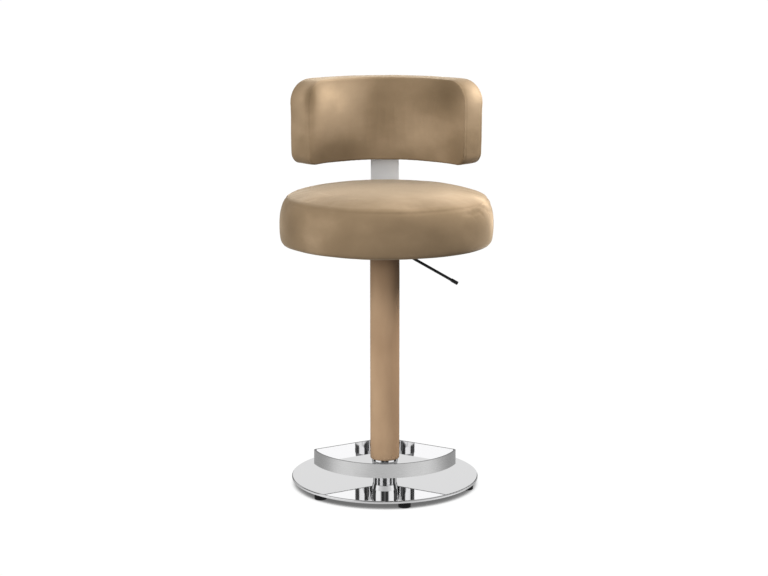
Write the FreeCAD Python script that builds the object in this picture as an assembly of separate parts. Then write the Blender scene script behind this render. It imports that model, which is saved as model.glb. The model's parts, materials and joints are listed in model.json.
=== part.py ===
"""Gas-lift stylist stool on a round floor plate, with a wrapped column, a footrest ring, a round
cushion and a curved backrest.

Millimetres, +Z up. The origin is on the floor, on the column's axis. The sitter faces -Y, so the
backrest is at +Y. All parts are drawn with the seat at its lowest height.
"""
import FreeCAD, Part
import math
import os

# Floor plate and feet
PLATE_RADIUS = 200.0
PLATE_THICK = 6.0
PLATE_EDGE_ROUND = 2.0
FOOT_HEIGHT = 12.0
FOOT_RADIUS = 13.0
FOOT_COUNT = 6
FOOT_CIRCLE_RADIUS = 183.0
FOOT_FIRST_ANGLE = -77.2
FOOT_RECESS_RADIUS = 6.5
FOOT_RECESS_DEPTH = 5.0
FOOT_SCREW_RADIUS = 2.5
FOOT_SCREW_HEAD_RADIUS = 5.0
FOOT_SCREW_HEAD_HEIGHT = 3.0
FOOT_EDGE_ROUND = 1.5

# Flange under the plate that carries the column
FLANGE_RADIUS = 62.0
FLANGE_THICK = 6.0
FLANGE_SCREW_COUNT = 4
FLANGE_SCREW_CIRCLE = 46.0
FLANGE_SCREW_RADIUS = 3.0
FLANGE_SCREW_HEAD_RADIUS = 5.6
BLIND_HOLE_SKIN = 1.5
SCREW_TIP_GAP = 0.5
DRIVE_SLOT_WIDTH = 1.2
DRIVE_SLOT_LENGTH = 8.0
HEX_SOCKET_DEPTH = 2.0

# Column: fixed base tube, sliding outer tube, end ring, bushes and fabric wrap
BASE_TUBE_RADIUS = 25.0
BASE_TUBE_WALL = 2.5
BASE_TUBE_TOP = 380.0
OUTER_TUBE_RADIUS = 28.0
OUTER_TUBE_WALL = 1.5
END_RING_BOTTOM = 39.0
OUTER_TUBE_BOTTOM = 50.0
END_RING_SPIGOT = 8.0
END_RING_BORE_GAP = 0.3
END_RING_LIP = 0.8
LOWER_BUSH_LENGTH = 30.0
GUIDE_SPIGOT_LENGTH = 30.0
GUIDE_FLANGE_HEIGHT = 8.0
WRAP_RADIUS = 31.2
WRAP_BOTTOM = 54.0
WRAP_EDGE_ROUND = 2.0
RUNNING_GAP = 0.05
SOFT_GAP = 0.3
FIT_GAP = 0.1

# Gas spring, with its rod standing on a thrust bearing in the base tube
SPRING_RADIUS = 14.0
SPRING_WALL = 1.6
SPRING_BOTTOM = 75.0
SPRING_TAPER_START = 455.0
SPRING_TOP = 504.0
SPRING_TOP_RADIUS = 12.8
SPRING_HEAD = 56.0
GLAND_HEIGHT = 12.0
ROD_RADIUS = 5.0
ROD_TIP_RADIUS = 4.0
ROD_TIP_BOTTOM = 3.0
PISTON_HEIGHT = 8.0
PISTON_TOP_GAP = 3.0
PISTON_GROOVE_WIDTH = 2.0
PISTON_GROOVE_DEPTH = 1.5
LIFT_STROKE = 200.0
SPACER_WALL = 3.0
VALVE_PIN_RADIUS = 3.0
VALVE_PIN_REACH = 6.0
VALVE_PIN_LENGTH = 14.0
VALVE_PIN_ROUND = 0.8
VALVE_BORE_DEPTH = 19.0
BALL_RADIUS = 2.0
BALL_COUNT = 8
BALL_CIRCLE_RADIUS = 8.2
RACE_RADIUS = 11.5
RACE_HEIGHT = 2.5
CAGE_THICK = 1.2
BUFFER_HEIGHT = 6.0
CAGE_GAP = 0.9
CLIP_THICK = 1.2
CLIP_RADIUS = 7.5
CLIP_GROOVE_DEPTH = 0.8
CLIP_MOUTH = 4.0
COLLAR_WALL = 2.5

# Mechanism between the column and the seat
SOCKET_RADIUS = 18.0
SOCKET_LENGTH = 41.0
BRACKET_RADIUS = 31.0
BRACKET_BASE_BOTTOM = 498.0
BRACKET_BASE_THICK = 3.0
CHEEK_INNER = 10.0
CHEEK_THICK = 3.0
CHEEK_HALF_LENGTH = 28.0
SEAT_PLATE_SIZE = 170.0
SEAT_PLATE_THICK = 3.0
SEAT_PLATE_CORNER = 14.0
SEAT_PLATE_TOP = 525.0
SEAT_BOLT_PITCH = 130.0
BOLT_RADIUS = 3.0
BOLT_HEAD_RADIUS = 6.0
BOLT_HEAD_HEIGHT = 3.5
BOLT_HOLE_GAP = 0.3
TEE_NUT_BARREL_RADIUS = 4.2
TEE_NUT_FLANGE_RADIUS = 9.0
TEE_NUT_FLANGE_THICK = 1.5
TEE_NUT_SHORT = 2.0

# Release lever
LEVER_PIVOT_X = 24.0
LEVER_PIVOT_Z = 509.6
LEVER_SLOPE = 29.8
LEVER_LENGTH = 150.0
LEVER_ROOT = 4.0
LEVER_RADIUS = 3.0
LEVER_HUB_RADIUS = 6.0
LEVER_HUB_HALF_WIDTH = 9.5
LEVER_PIN_RADIUS = 2.5
LEVER_PIN_HEAD_RADIUS = 4.0
LEVER_PIN_HEAD_THICK = 1.5
LEVER_TAB_THICK = 3.0
LEVER_TAB_HALF_WIDTH = 6.0
LEVER_TAB_OVERHANG = 6.0
LEVER_PIN_CLEARANCE = 0.3
GRIP_LENGTH = 16.0
GRIP_RADIUS = 3.9
GRIP_EDGE_ROUND = 1.2

# Seat
BOARD_INSET = 31.0
BOARD_THICK = 12.0
DUST_COVER_THICK = 1.0
DUST_COVER_INSET = 23.0
SEAT_RADIUS = 226.0
SEAT_BOTTOM_ROUND = 17.0
SEAT_WAIST_HEIGHT = 49.0
SEAT_SHOULDER_RISE = 28.0
SEAT_SHOULDER_INSET = 5.3
SEAT_SEAM_INSET = 18.0
SEAT_SEAM_HEIGHT = 95.5
SEAT_RIM_INSET = 41.0
SEAT_RIM_HEIGHT = 105.0
SEAT_CROWN_HEIGHT = 116.0
COVER_THICK = 2.0

# Backrest
BACK_OUTER_RADIUS = 282.0
BACK_THICK = 60.0
BACK_HALF_ANGLE = 48.0
BACK_BOTTOM = 675.0
BACK_TOP = 857.0
BACK_TOP_CORNER = 52.0
BACK_BOTTOM_CORNER = 18.0
BACK_EDGE_ROUND = 11.0
BACK_BOARD_THICK = 10.0
BACK_BOARD_DEPTH = 10.0
BACK_BOARD_MARGIN = 22.0
BACK_BOARD_HALF_ANGLE = 40.0
BACK_BOARD_CORNER = 25.0

# Flat bar that carries the backrest
BAR_WIDTH = 62.0
BAR_THICK = 6.0
BAR_PLATE_GAP = 3.0
BAR_BEND_RADIUS = 15.0
BAR_CLEARANCE = 1.5
BAR_TOP_MARGIN = 22.0
BAR_CORNER = 12.0
BAR_BOLT_PITCH_X = 34.0
BAR_BOLT_MARGIN = 20.0
BAR_BOLT_PITCH_Y = 60.0
BACK_BOLT_MARGIN = 37.0
BACK_BOLT_PITCH_Z = 38.0

# Footrest ring
RING_HEIGHT = 30.0
RING_THICK = 4.0
RING_BOTTOM = 55.0
RING_FRONT_RADIUS = 159.0
RING_REAR_RADIUS = 36.0
RING_SIDE_ANGLE = 31.4
RING_CORNER_RADIUS = 9.0
SADDLE_MARGIN = 3.0
SADDLE_HALF_ANGLE = 28.0
RING_SCREW_RADIUS = 3.0
RING_SCREW_HEAD_RADIUS = 5.0
RING_SCREW_PITCH = 14.0

# Levels and radii that follow from the values above
PLATE_BOTTOM = FOOT_HEIGHT
PLATE_TOP = PLATE_BOTTOM + PLATE_THICK
FLANGE_BOTTOM = PLATE_BOTTOM - FLANGE_THICK
BASE_TUBE_BORE = BASE_TUBE_RADIUS - BASE_TUBE_WALL
OUTER_TUBE_BORE = OUTER_TUBE_RADIUS - OUTER_TUBE_WALL
WRAP_BORE = OUTER_TUBE_RADIUS + SOFT_GAP
BRACKET_BASE_TOP = BRACKET_BASE_BOTTOM + BRACKET_BASE_THICK
SEAT_PLATE_BOTTOM = SEAT_PLATE_TOP - SEAT_PLATE_THICK
SEAT_BOTTOM = SEAT_PLATE_TOP + DUST_COVER_THICK
BOARD_TOP = SEAT_BOTTOM + BOARD_THICK
BOARD_RADIUS = SEAT_RADIUS - BOARD_INSET
DUST_COVER_RADIUS = SEAT_RADIUS - DUST_COVER_INSET
SEAT_SEAM_RADIUS = SEAT_RADIUS - SEAT_SEAM_INSET
SEAT_RIM_RADIUS = SEAT_RADIUS - SEAT_RIM_INSET
BEARING_BOTTOM = PLATE_BOTTOM
BALL_LEVEL = BEARING_BOTTOM + RACE_HEIGHT + BALL_RADIUS + RUNNING_GAP
UPPER_RACE_BOTTOM = BALL_LEVEL + BALL_RADIUS + RUNNING_GAP
ROD_SHOULDER = UPPER_RACE_BOTTOM + RACE_HEIGHT
SPRING_BORE = SPRING_RADIUS - SPRING_WALL
SPRING_BORE_TOP = SPRING_TOP - SPRING_HEAD
VALVE_PIN_TOP = SPRING_TOP + VALVE_PIN_REACH
BACK_BOARD_OUTER = BACK_OUTER_RADIUS - BACK_BOARD_DEPTH
BAR_INNER_Y = SEAT_RADIUS + BAR_CLEARANCE
BAR_OUTER_Y = BAR_INNER_Y + BAR_THICK
BAR_BOTTOM = SEAT_PLATE_TOP - BAR_THICK
BAR_FRONT = SEAT_PLATE_SIZE / 2 + BAR_PLATE_GAP
BAR_BOLT_FIRST_Y = BAR_FRONT + BAR_BOLT_MARGIN
BACK_BOLT_FIRST_Z = BACK_BOTTOM + BACK_BOLT_MARGIN
BAR_TOP = BACK_BOLT_FIRST_Z + BACK_BOLT_PITCH_Z + BAR_TOP_MARGIN
BACK_REAR = BAR_INNER_Y - SOFT_GAP
BACK_CENTRE_Y = BACK_REAR - BACK_OUTER_RADIUS
BACK_BOARD_REAR = BACK_CENTRE_Y + BACK_BOARD_OUTER
RING_TOP = RING_BOTTOM + RING_HEIGHT

UP = FreeCAD.Vector(0, 0, 1)
RIGHT = FreeCAD.Vector(1, 0, 0)
BACK = FreeCAD.Vector(0, 1, 0)


def vec(x, y, z):
    """A point, in millimetres."""
    return FreeCAD.Vector(x, y, z)


def rod(radius, z0, z1, x=0.0, y=0.0):
    """A solid cylinder along Z from z0 to z1."""
    return Part.makeCylinder(radius, z1 - z0, vec(x, y, z0), UP)


def tube(outer, inner, z0, z1, x=0.0, y=0.0):
    """A hollow cylinder along Z from z0 to z1."""
    return rod(outer, z0, z1, x, y).cut(rod(inner, z0, z1, x, y))


def block(x0, x1, y0, y1, z0, z1):
    """A box between two corners."""
    return Part.makeBox(x1 - x0, y1 - y0, z1 - z0, vec(x0, y0, z0))


def fuse(shapes):
    """One solid from several that meet, with the seams between them removed."""
    return shapes[0].multiFuse(shapes[1:]).removeSplitter()


def cut(shape, tools):
    """The shape with every tool taken out of it."""
    for tool in tools:
        shape = shape.cut(tool)
    return shape


def on_circle(radius, count, first_angle):
    """Points evenly spaced on a circle around the column, as (x, y)."""
    points = []
    for index in range(count):
        angle = math.radians(first_angle + 360.0 * index / count)
        points.append((radius * math.cos(angle), radius * math.sin(angle)))
    return points


def revolve(edges):
    """The solid that a closed outline in the XZ plane sweeps around the Z axis."""
    face = Part.Face(Part.Wire(edges))
    return face.revolve(vec(0, 0, 0), UP, 360)


def polyline(points):
    """Straight edges through (r, z) points in the XZ plane, closed."""
    corners = [vec(r, 0, z) for r, z in points]
    pairs = zip(corners, corners[1:] + corners[:1])
    return [Part.makeLine(a, b) for a, b in pairs]


def pan_screw(radius, head_radius, head_height, z_head, z_tip, x, y):
    """A domed screw that points up, with its head's flat side at z_head."""
    head = rod(head_radius, z_head - head_height, z_head, x, y)
    rim = [edge for edge in head.Edges if edge.BoundBox.ZMax < z_head - head_height / 2]
    head = head.makeFillet(head_height * 0.4, rim)
    hex_radius = head_radius * 0.5
    corners = [
        vec(x + px, y + py, z_head - head_height) for px, py in on_circle(hex_radius, 6, 0)
    ]
    socket = Part.Face(Part.makePolygon(corners + corners[:1])).extrude(UP * (head_height * 0.5))
    return fuse([head.cut(socket), rod(radius, z_head, z_tip, x, y)])


# Floor plate, feet and column foot


def foot_points():
    return on_circle(FOOT_CIRCLE_RADIUS, FOOT_COUNT, FOOT_FIRST_ANGLE)


def flange_screw_points():
    return on_circle(FLANGE_SCREW_CIRCLE, FLANGE_SCREW_COUNT, 45.0)


def floor_plate():
    """The polished disc, with blind holes under it for the feet and the flange."""
    plate = rod(PLATE_RADIUS, PLATE_BOTTOM, PLATE_TOP)
    plate = plate.makeFillet(PLATE_EDGE_ROUND, [e for e in plate.Edges if e.Closed])
    hole_top = PLATE_TOP - BLIND_HOLE_SKIN
    holes = [rod(BASE_TUBE_RADIUS + FIT_GAP, PLATE_BOTTOM, PLATE_TOP)]
    for x, y in foot_points():
        holes.append(rod(FOOT_SCREW_RADIUS + FIT_GAP, PLATE_BOTTOM, hole_top, x, y))
    for x, y in flange_screw_points():
        holes.append(rod(FLANGE_SCREW_RADIUS + FIT_GAP, PLATE_BOTTOM, hole_top, x, y))
    return cut(plate, holes)


def foot(x, y):
    """A turned rubber foot with a recess for its screw."""
    body = rod(FOOT_RADIUS, 0, FOOT_HEIGHT, x, y)
    rim = [e for e in body.Edges if e.Closed and e.BoundBox.ZMax < FOOT_HEIGHT / 2]
    body = body.makeFillet(FOOT_EDGE_ROUND, rim)
    recess = rod(FOOT_RECESS_RADIUS, 0, FOOT_RECESS_DEPTH, x, y)
    bore = rod(FOOT_SCREW_RADIUS + FIT_GAP, 0, FOOT_HEIGHT, x, y)
    return cut(body, [recess, bore])


def foot_screws():
    tip = PLATE_TOP - BLIND_HOLE_SKIN - SCREW_TIP_GAP
    return [
        pan_screw(
            FOOT_SCREW_RADIUS, FOOT_SCREW_HEAD_RADIUS, FOOT_SCREW_HEAD_HEIGHT,
            FOOT_RECESS_DEPTH, tip, x, y,
        )
        for x, y in foot_points()
    ]


def flange_screw_form(x, y, gap):
    """A countersunk screw from below, or its hole when gap is above zero."""
    sink = FLANGE_SCREW_HEAD_RADIUS - FLANGE_SCREW_RADIUS
    tip = PLATE_TOP - BLIND_HOLE_SKIN - SCREW_TIP_GAP
    cone = Part.makeCone(
        FLANGE_SCREW_HEAD_RADIUS + gap, FLANGE_SCREW_RADIUS + gap, sink,
        vec(x, y, FLANGE_BOTTOM), UP,
    )
    return fuse([cone, rod(FLANGE_SCREW_RADIUS + gap, FLANGE_BOTTOM, tip, x, y)])


def column_flange():
    plate = rod(FLANGE_RADIUS, FLANGE_BOTTOM, PLATE_BOTTOM)
    rod_hole = rod(ROD_TIP_RADIUS + FIT_GAP, FLANGE_BOTTOM, PLATE_BOTTOM)
    screw_holes = [flange_screw_form(x, y, FIT_GAP) for x, y in flange_screw_points()]
    return cut(plate, [rod_hole] + screw_holes)


def flange_screws():
    screws = []
    for x, y in flange_screw_points():
        slot = block(
            x - DRIVE_SLOT_LENGTH / 2, x + DRIVE_SLOT_LENGTH / 2,
            y - DRIVE_SLOT_WIDTH / 2, y + DRIVE_SLOT_WIDTH / 2,
            FLANGE_BOTTOM, FLANGE_BOTTOM + DRIVE_SLOT_WIDTH,
        )
        screws.append(flange_screw_form(x, y, 0.0).cut(slot))
    return screws


# Column


def base_tube():
    return tube(BASE_TUBE_RADIUS, BASE_TUBE_BORE, PLATE_BOTTOM, BASE_TUBE_TOP)


def column_guide():
    """Nylon head of the base tube: the spring slides in it and the outer tube slides over it."""
    spigot = rod(BASE_TUBE_BORE - FIT_GAP, BASE_TUBE_TOP - GUIDE_SPIGOT_LENGTH, BASE_TUBE_TOP)
    head_radius = OUTER_TUBE_BORE - RUNNING_GAP
    head = rod(head_radius, BASE_TUBE_TOP, BASE_TUBE_TOP + GUIDE_FLANGE_HEIGHT)
    bore = rod(
        SPRING_RADIUS + RUNNING_GAP,
        BASE_TUBE_TOP - GUIDE_SPIGOT_LENGTH,
        BASE_TUBE_TOP + GUIDE_FLANGE_HEIGHT,
    )
    return fuse([spigot, head]).cut(bore)


def outer_tube():
    """Sliding tube, drilled at the back for the footrest's screws."""
    body = tube(OUTER_TUBE_RADIUS, OUTER_TUBE_BORE, OUTER_TUBE_BOTTOM, BRACKET_BASE_BOTTOM)
    return cut(body, [ring_screw_hole(z) for z in ring_screw_levels()])


def end_ring():
    """Cone under the outer tube, with a spigot inside it."""
    bore = BASE_TUBE_RADIUS + END_RING_BORE_GAP
    top = OUTER_TUBE_BOTTOM + END_RING_SPIGOT
    return revolve(polyline([
        (bore, END_RING_BOTTOM),
        (bore + END_RING_LIP, END_RING_BOTTOM),
        (OUTER_TUBE_RADIUS, OUTER_TUBE_BOTTOM),
        (OUTER_TUBE_BORE, OUTER_TUBE_BOTTOM),
        (OUTER_TUBE_BORE, top),
        (bore, top),
    ]))


def lower_bush():
    bottom = OUTER_TUBE_BOTTOM + END_RING_SPIGOT
    return tube(
        OUTER_TUBE_BORE, BASE_TUBE_RADIUS + RUNNING_GAP, bottom, bottom + LOWER_BUSH_LENGTH
    )


def column_wrap():
    """Fabric sleeve, with a window at the back for the footrest's saddle."""
    body = tube(WRAP_RADIUS, WRAP_BORE, WRAP_BOTTOM, BRACKET_BASE_BOTTOM - SOFT_GAP)
    outer_rims = [e for e in body.Edges if e.Closed and e.BoundBox.XMax > WRAP_RADIUS - 0.5]
    body = body.makeFillet(WRAP_EDGE_ROUND, outer_rims)
    return body.cut(saddle_form(SOFT_GAP))


# Gas spring and bearing


def spring_radius_at(z):
    """Outside radius of the spring's taper at a height above its start."""
    fall = (SPRING_RADIUS - SPRING_TOP_RADIUS) / (SPRING_TOP - SPRING_TAPER_START)
    return SPRING_RADIUS - (z - SPRING_TAPER_START) * fall


def spring_cylinder():
    body = revolve(polyline([
        (0, SPRING_BOTTOM),
        (SPRING_RADIUS, SPRING_BOTTOM),
        (SPRING_RADIUS, SPRING_TAPER_START),
        (SPRING_TOP_RADIUS, SPRING_TOP),
        (0, SPRING_TOP),
    ]))
    bore = rod(SPRING_BORE, SPRING_BOTTOM, SPRING_BORE_TOP)
    valve_bore = rod(VALVE_PIN_RADIUS + RUNNING_GAP, SPRING_TOP - VALVE_BORE_DEPTH, SPRING_TOP)
    return cut(body, [bore, valve_bore])


def spring_gland():
    return tube(
        SPRING_BORE, ROD_RADIUS + RUNNING_GAP, SPRING_BOTTOM, SPRING_BOTTOM + GLAND_HEIGHT
    )


def valve_pin():
    bottom = VALVE_PIN_TOP - VALVE_PIN_LENGTH
    pin = rod(VALVE_PIN_RADIUS, bottom, VALVE_PIN_TOP)
    rim = [e for e in pin.Edges if e.Closed and e.BoundBox.ZMin > bottom + VALVE_PIN_LENGTH / 2]
    return pin.makeFillet(VALVE_PIN_ROUND, rim)


def piston_bottom():
    return SPRING_BORE_TOP - PISTON_TOP_GAP - PISTON_HEIGHT


def piston_rod():
    """Rod with a thinner tip that passes through the bearing, the flange and the clip."""
    shaft = rod(ROD_RADIUS, ROD_SHOULDER, piston_bottom())
    tip = rod(ROD_TIP_RADIUS, ROD_TIP_BOTTOM, ROD_SHOULDER)
    groove = tube(
        ROD_TIP_RADIUS, ROD_TIP_RADIUS - CLIP_GROOVE_DEPTH,
        clip_bottom(), clip_bottom() + CLIP_THICK,
    )
    return fuse([shaft, tip]).cut(groove)


def piston():
    body = rod(SPRING_BORE - RUNNING_GAP, piston_bottom(), piston_bottom() + PISTON_HEIGHT)
    low = piston_bottom() + (PISTON_HEIGHT - PISTON_GROOVE_WIDTH) / 2
    groove = tube(
        SPRING_BORE, SPRING_BORE - PISTON_GROOVE_DEPTH, low, low + PISTON_GROOVE_WIDTH
    )
    return body.cut(groove)


def clip_bottom():
    return FLANGE_BOTTOM - RUNNING_GAP - CLIP_THICK


def rod_clip():
    """Retaining clip in the rod tip's groove, open on one side."""
    low = clip_bottom()
    high = low + CLIP_THICK
    ring = tube(CLIP_RADIUS, ROD_TIP_RADIUS - CLIP_GROOVE_DEPTH, low, high)
    mouth = block(0, CLIP_RADIUS, -CLIP_MOUTH / 2, CLIP_MOUTH / 2, low, high)
    return ring.cut(mouth)


def race(bottom):
    return tube(RACE_RADIUS, ROD_TIP_RADIUS + FIT_GAP, bottom, bottom + RACE_HEIGHT)


def bearing_balls():
    points = on_circle(BALL_CIRCLE_RADIUS, BALL_COUNT, 0.0)
    return [Part.makeSphere(BALL_RADIUS, vec(x, y, BALL_LEVEL)) for x, y in points]


def ball_cage():
    low = BALL_LEVEL - CAGE_THICK / 2
    high = BALL_LEVEL + CAGE_THICK / 2
    ring = tube(RACE_RADIUS - SOFT_GAP, ROD_TIP_RADIUS + CAGE_GAP, low, high)
    points = on_circle(BALL_CIRCLE_RADIUS, BALL_COUNT, 0.0)
    pocket = BALL_RADIUS + RUNNING_GAP
    return cut(ring, [rod(pocket, low, high, x, y) for x, y in points])


def spring_buffer():
    """Rubber ring on the rod that the spring lands on at its lowest height."""
    bottom = SPRING_BOTTOM - BUFFER_HEIGHT - SOFT_GAP
    return tube(RACE_RADIUS, ROD_RADIUS + RUNNING_GAP, bottom, bottom + BUFFER_HEIGHT)


def buffer_collar():
    """Spacer tube on the rod between the bearing and the buffer."""
    top = SPRING_BOTTOM - BUFFER_HEIGHT - SOFT_GAP
    return tube(ROD_RADIUS + COLLAR_WALL, ROD_RADIUS + RUNNING_GAP, ROD_SHOULDER, top)


def stroke_spacer():
    """Tube in the spring that meets the piston when the seat is fully raised."""
    bottom = SPRING_BOTTOM + GLAND_HEIGHT
    return tube(SPRING_BORE, SPRING_BORE - SPACER_WALL, bottom, piston_bottom() - LIFT_STROKE)


# Mechanism


def socket_bottom():
    return BRACKET_BASE_TOP - SOCKET_LENGTH


def taper_socket():
    low = socket_bottom()
    high = BRACKET_BASE_TOP
    return revolve(polyline([
        (spring_radius_at(low) + RUNNING_GAP, low),
        (SOCKET_RADIUS, low),
        (SOCKET_RADIUS, high),
        (spring_radius_at(high) + RUNNING_GAP, high),
    ]))


def mechanism_bracket():
    """Round base that the outer tube meets, and two cheeks up to the seat plate."""
    base = tube(BRACKET_RADIUS, SOCKET_RADIUS, BRACKET_BASE_BOTTOM, BRACKET_BASE_TOP)
    outer = CHEEK_INNER + CHEEK_THICK
    cheeks = [
        block(-CHEEK_HALF_LENGTH, CHEEK_HALF_LENGTH, y0, y0 + CHEEK_THICK,
              BRACKET_BASE_BOTTOM, SEAT_PLATE_BOTTOM)
        for y0 in (CHEEK_INNER, -outer)
    ]
    web = block(
        -CHEEK_HALF_LENGTH, -CHEEK_HALF_LENGTH + CHEEK_THICK, -outer, outer,
        BRACKET_BASE_BOTTOM, SEAT_PLATE_BOTTOM,
    )
    body = fuse([base] + cheeks + [web])
    pin_hole = Part.makeCylinder(
        LEVER_PIN_RADIUS + FIT_GAP, 2 * outer, vec(LEVER_PIVOT_X, -outer, LEVER_PIVOT_Z), BACK
    )
    spring_hole = rod(SOCKET_RADIUS, BRACKET_BASE_BOTTOM, SPRING_TOP + SOFT_GAP)
    return cut(body, [spring_hole, pin_hole])


def seat_bolt_points():
    half = SEAT_BOLT_PITCH / 2
    return [(x, y) for x in (-half, half) for y in (-half, half)]


def seat_plate():
    half = SEAT_PLATE_SIZE / 2
    plate = block(-half, half, -half, half, SEAT_PLATE_BOTTOM, SEAT_PLATE_TOP)
    upright = [e for e in plate.Edges if e.BoundBox.ZLength > SEAT_PLATE_THICK / 2]
    plate = plate.makeFillet(SEAT_PLATE_CORNER, upright)
    radius = BOLT_RADIUS + BOLT_HOLE_GAP
    holes = [rod(radius, SEAT_PLATE_BOTTOM, SEAT_PLATE_TOP, x, y) for x, y in seat_bolt_points()]
    return cut(plate, holes)


def seat_bolts():
    return [
        pan_screw(BOLT_RADIUS, BOLT_HEAD_RADIUS, BOLT_HEAD_HEIGHT, SEAT_PLATE_BOTTOM,
                  BOARD_TOP, x, y)
        for x, y in seat_bolt_points()
    ]


def bar_bolt_points():
    half = BAR_BOLT_PITCH_X / 2
    rows = (BAR_BOLT_FIRST_Y, BAR_BOLT_FIRST_Y + BAR_BOLT_PITCH_Y)
    return [(x, y) for x in (-half, half) for y in rows]


def bar_bolts():
    return [
        pan_screw(BOLT_RADIUS, BOLT_HEAD_RADIUS, BOLT_HEAD_HEIGHT, BAR_BOTTOM, BOARD_TOP, x, y)
        for x, y in bar_bolt_points()
    ]


def tee_nut(x, y):
    """Tee nut that is hammered into the board from above and takes one bolt."""
    barrel = rod(TEE_NUT_BARREL_RADIUS, SEAT_BOTTOM + TEE_NUT_SHORT, BOARD_TOP, x, y)
    flange = rod(TEE_NUT_FLANGE_RADIUS, BOARD_TOP, BOARD_TOP + TEE_NUT_FLANGE_THICK, x, y)
    bore = rod(BOLT_RADIUS + RUNNING_GAP, SEAT_BOTTOM, BOARD_TOP + TEE_NUT_FLANGE_THICK, x, y)
    return fuse([barrel, flange]).cut(bore)


# Lever


def lever_direction():
    slope = math.radians(LEVER_SLOPE)
    return vec(math.cos(slope), 0, -math.sin(slope))


def lever_pivot():
    return vec(LEVER_PIVOT_X, 0, LEVER_PIVOT_Z)


def lever_hub():
    """Hub on the pivot pin, with a tab over the valve pin."""
    start = vec(LEVER_PIVOT_X, -LEVER_HUB_HALF_WIDTH, LEVER_PIVOT_Z)
    hub = Part.makeCylinder(LEVER_HUB_RADIUS, 2 * LEVER_HUB_HALF_WIDTH, start, BACK)
    tab_bottom = VALVE_PIN_TOP + LEVER_PIN_CLEARANCE
    tab = block(
        -LEVER_TAB_OVERHANG, LEVER_PIVOT_X, -LEVER_TAB_HALF_WIDTH, LEVER_TAB_HALF_WIDTH,
        tab_bottom, tab_bottom + LEVER_TAB_THICK,
    )
    bore = Part.makeCylinder(
        LEVER_PIN_RADIUS + RUNNING_GAP, 2 * LEVER_HUB_HALF_WIDTH, start, BACK
    )
    socket = Part.makeCylinder(
        LEVER_RADIUS, LEVER_HUB_RADIUS, lever_pivot() + lever_direction() * LEVER_ROOT, lever_direction()
    )
    return cut(fuse([hub, tab]), [bore, socket])


def lever_rod():
    start = lever_pivot() + lever_direction() * LEVER_ROOT
    return Part.makeCylinder(
        LEVER_RADIUS, LEVER_LENGTH - GRIP_LENGTH / 2 - LEVER_ROOT, start, lever_direction()
    )


def lever_grip():
    """Plastic cap on the lever's free end."""
    start = lever_pivot() + lever_direction() * (LEVER_LENGTH - GRIP_LENGTH)
    cap = Part.makeCylinder(GRIP_RADIUS, GRIP_LENGTH, start, lever_direction())
    cap = cap.makeFillet(GRIP_EDGE_ROUND, [e for e in cap.Edges if e.Closed])
    bore = Part.makeCylinder(LEVER_RADIUS, GRIP_LENGTH / 2, start, lever_direction())
    return cap.cut(bore)


def lever_pivot_pin():
    outer = CHEEK_INNER + CHEEK_THICK
    start = vec(LEVER_PIVOT_X, -outer, LEVER_PIVOT_Z)
    shank = Part.makeCylinder(LEVER_PIN_RADIUS, 2 * outer, start, BACK)
    heads = [
        Part.makeCylinder(
            LEVER_PIN_HEAD_RADIUS, LEVER_PIN_HEAD_THICK, vec(LEVER_PIVOT_X, y, LEVER_PIVOT_Z), BACK
        )
        for y in (-outer - LEVER_PIN_HEAD_THICK, outer)
    ]
    return fuse([shank] + heads)


# Seat


def seat_form(inset):
    """The cushion's outer form, or the same form a little smaller all round."""
    side = SEAT_RADIUS - inset
    bottom = SEAT_BOTTOM + inset
    corner = SEAT_BOTTOM_ROUND - inset
    mid = corner * (1 - math.sqrt(0.5))
    waist = vec(side, 0, SEAT_BOTTOM + SEAT_WAIST_HEIGHT)
    rim_z = SEAT_BOTTOM + SEAT_RIM_HEIGHT - inset
    crown_z = SEAT_BOTTOM + SEAT_CROWN_HEIGHT - inset
    seam = vec(SEAT_SEAM_RADIUS - inset * 0.6, 0, SEAT_BOTTOM + SEAT_SEAM_HEIGHT - inset * 0.8)
    shoulder = vec(side - SEAT_SHOULDER_INSET, 0, waist.z + SEAT_SHOULDER_RISE)
    rim = vec(SEAT_RIM_RADIUS, 0, rim_z)
    rise = crown_z - rim_z
    crown_radius = (SEAT_RIM_RADIUS ** 2 + rise ** 2) / (2 * rise)
    half_rim = SEAT_RIM_RADIUS / 2
    half_crown = crown_z - crown_radius + math.sqrt(crown_radius ** 2 - half_rim ** 2)
    between = vec((seam.x + rim.x) / 2, 0, (seam.z + rim.z) / 2 + 1.6)
    points = [vec(0, 0, bottom), vec(side - corner, 0, bottom), vec(side, 0, bottom + corner)]
    edges = [
        Part.makeLine(points[0], points[1]),
        Part.Arc(points[1], vec(side - mid, 0, bottom + mid), points[2]).toShape(),
        Part.makeLine(points[2], waist),
        Part.Arc(waist, shoulder, seam).toShape(),
        Part.Arc(seam, between, rim).toShape(),
        Part.Arc(rim, vec(half_rim, 0, half_crown), vec(0, 0, crown_z)).toShape(),
        Part.makeLine(vec(0, 0, crown_z), points[0]),
    ]
    return revolve(edges)


def seat_cover():
    """Fabric skin over the foam, turned in under the rim and open over the board."""
    skin = seat_form(0.0).cut(seat_form(COVER_THICK))
    return skin.cut(rod(BOARD_RADIUS, SEAT_BOTTOM, SEAT_BOTTOM + COVER_THICK))


def seat_foam():
    pocket = rod(BOARD_RADIUS, SEAT_BOTTOM, BOARD_TOP)
    nut_height = TEE_NUT_FLANGE_THICK + SOFT_GAP
    nuts = [
        rod(TEE_NUT_FLANGE_RADIUS + SOFT_GAP, BOARD_TOP, BOARD_TOP + nut_height, x, y)
        for x, y in seat_bolt_points() + bar_bolt_points()
    ]
    return cut(seat_form(COVER_THICK), [pocket] + nuts)


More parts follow.
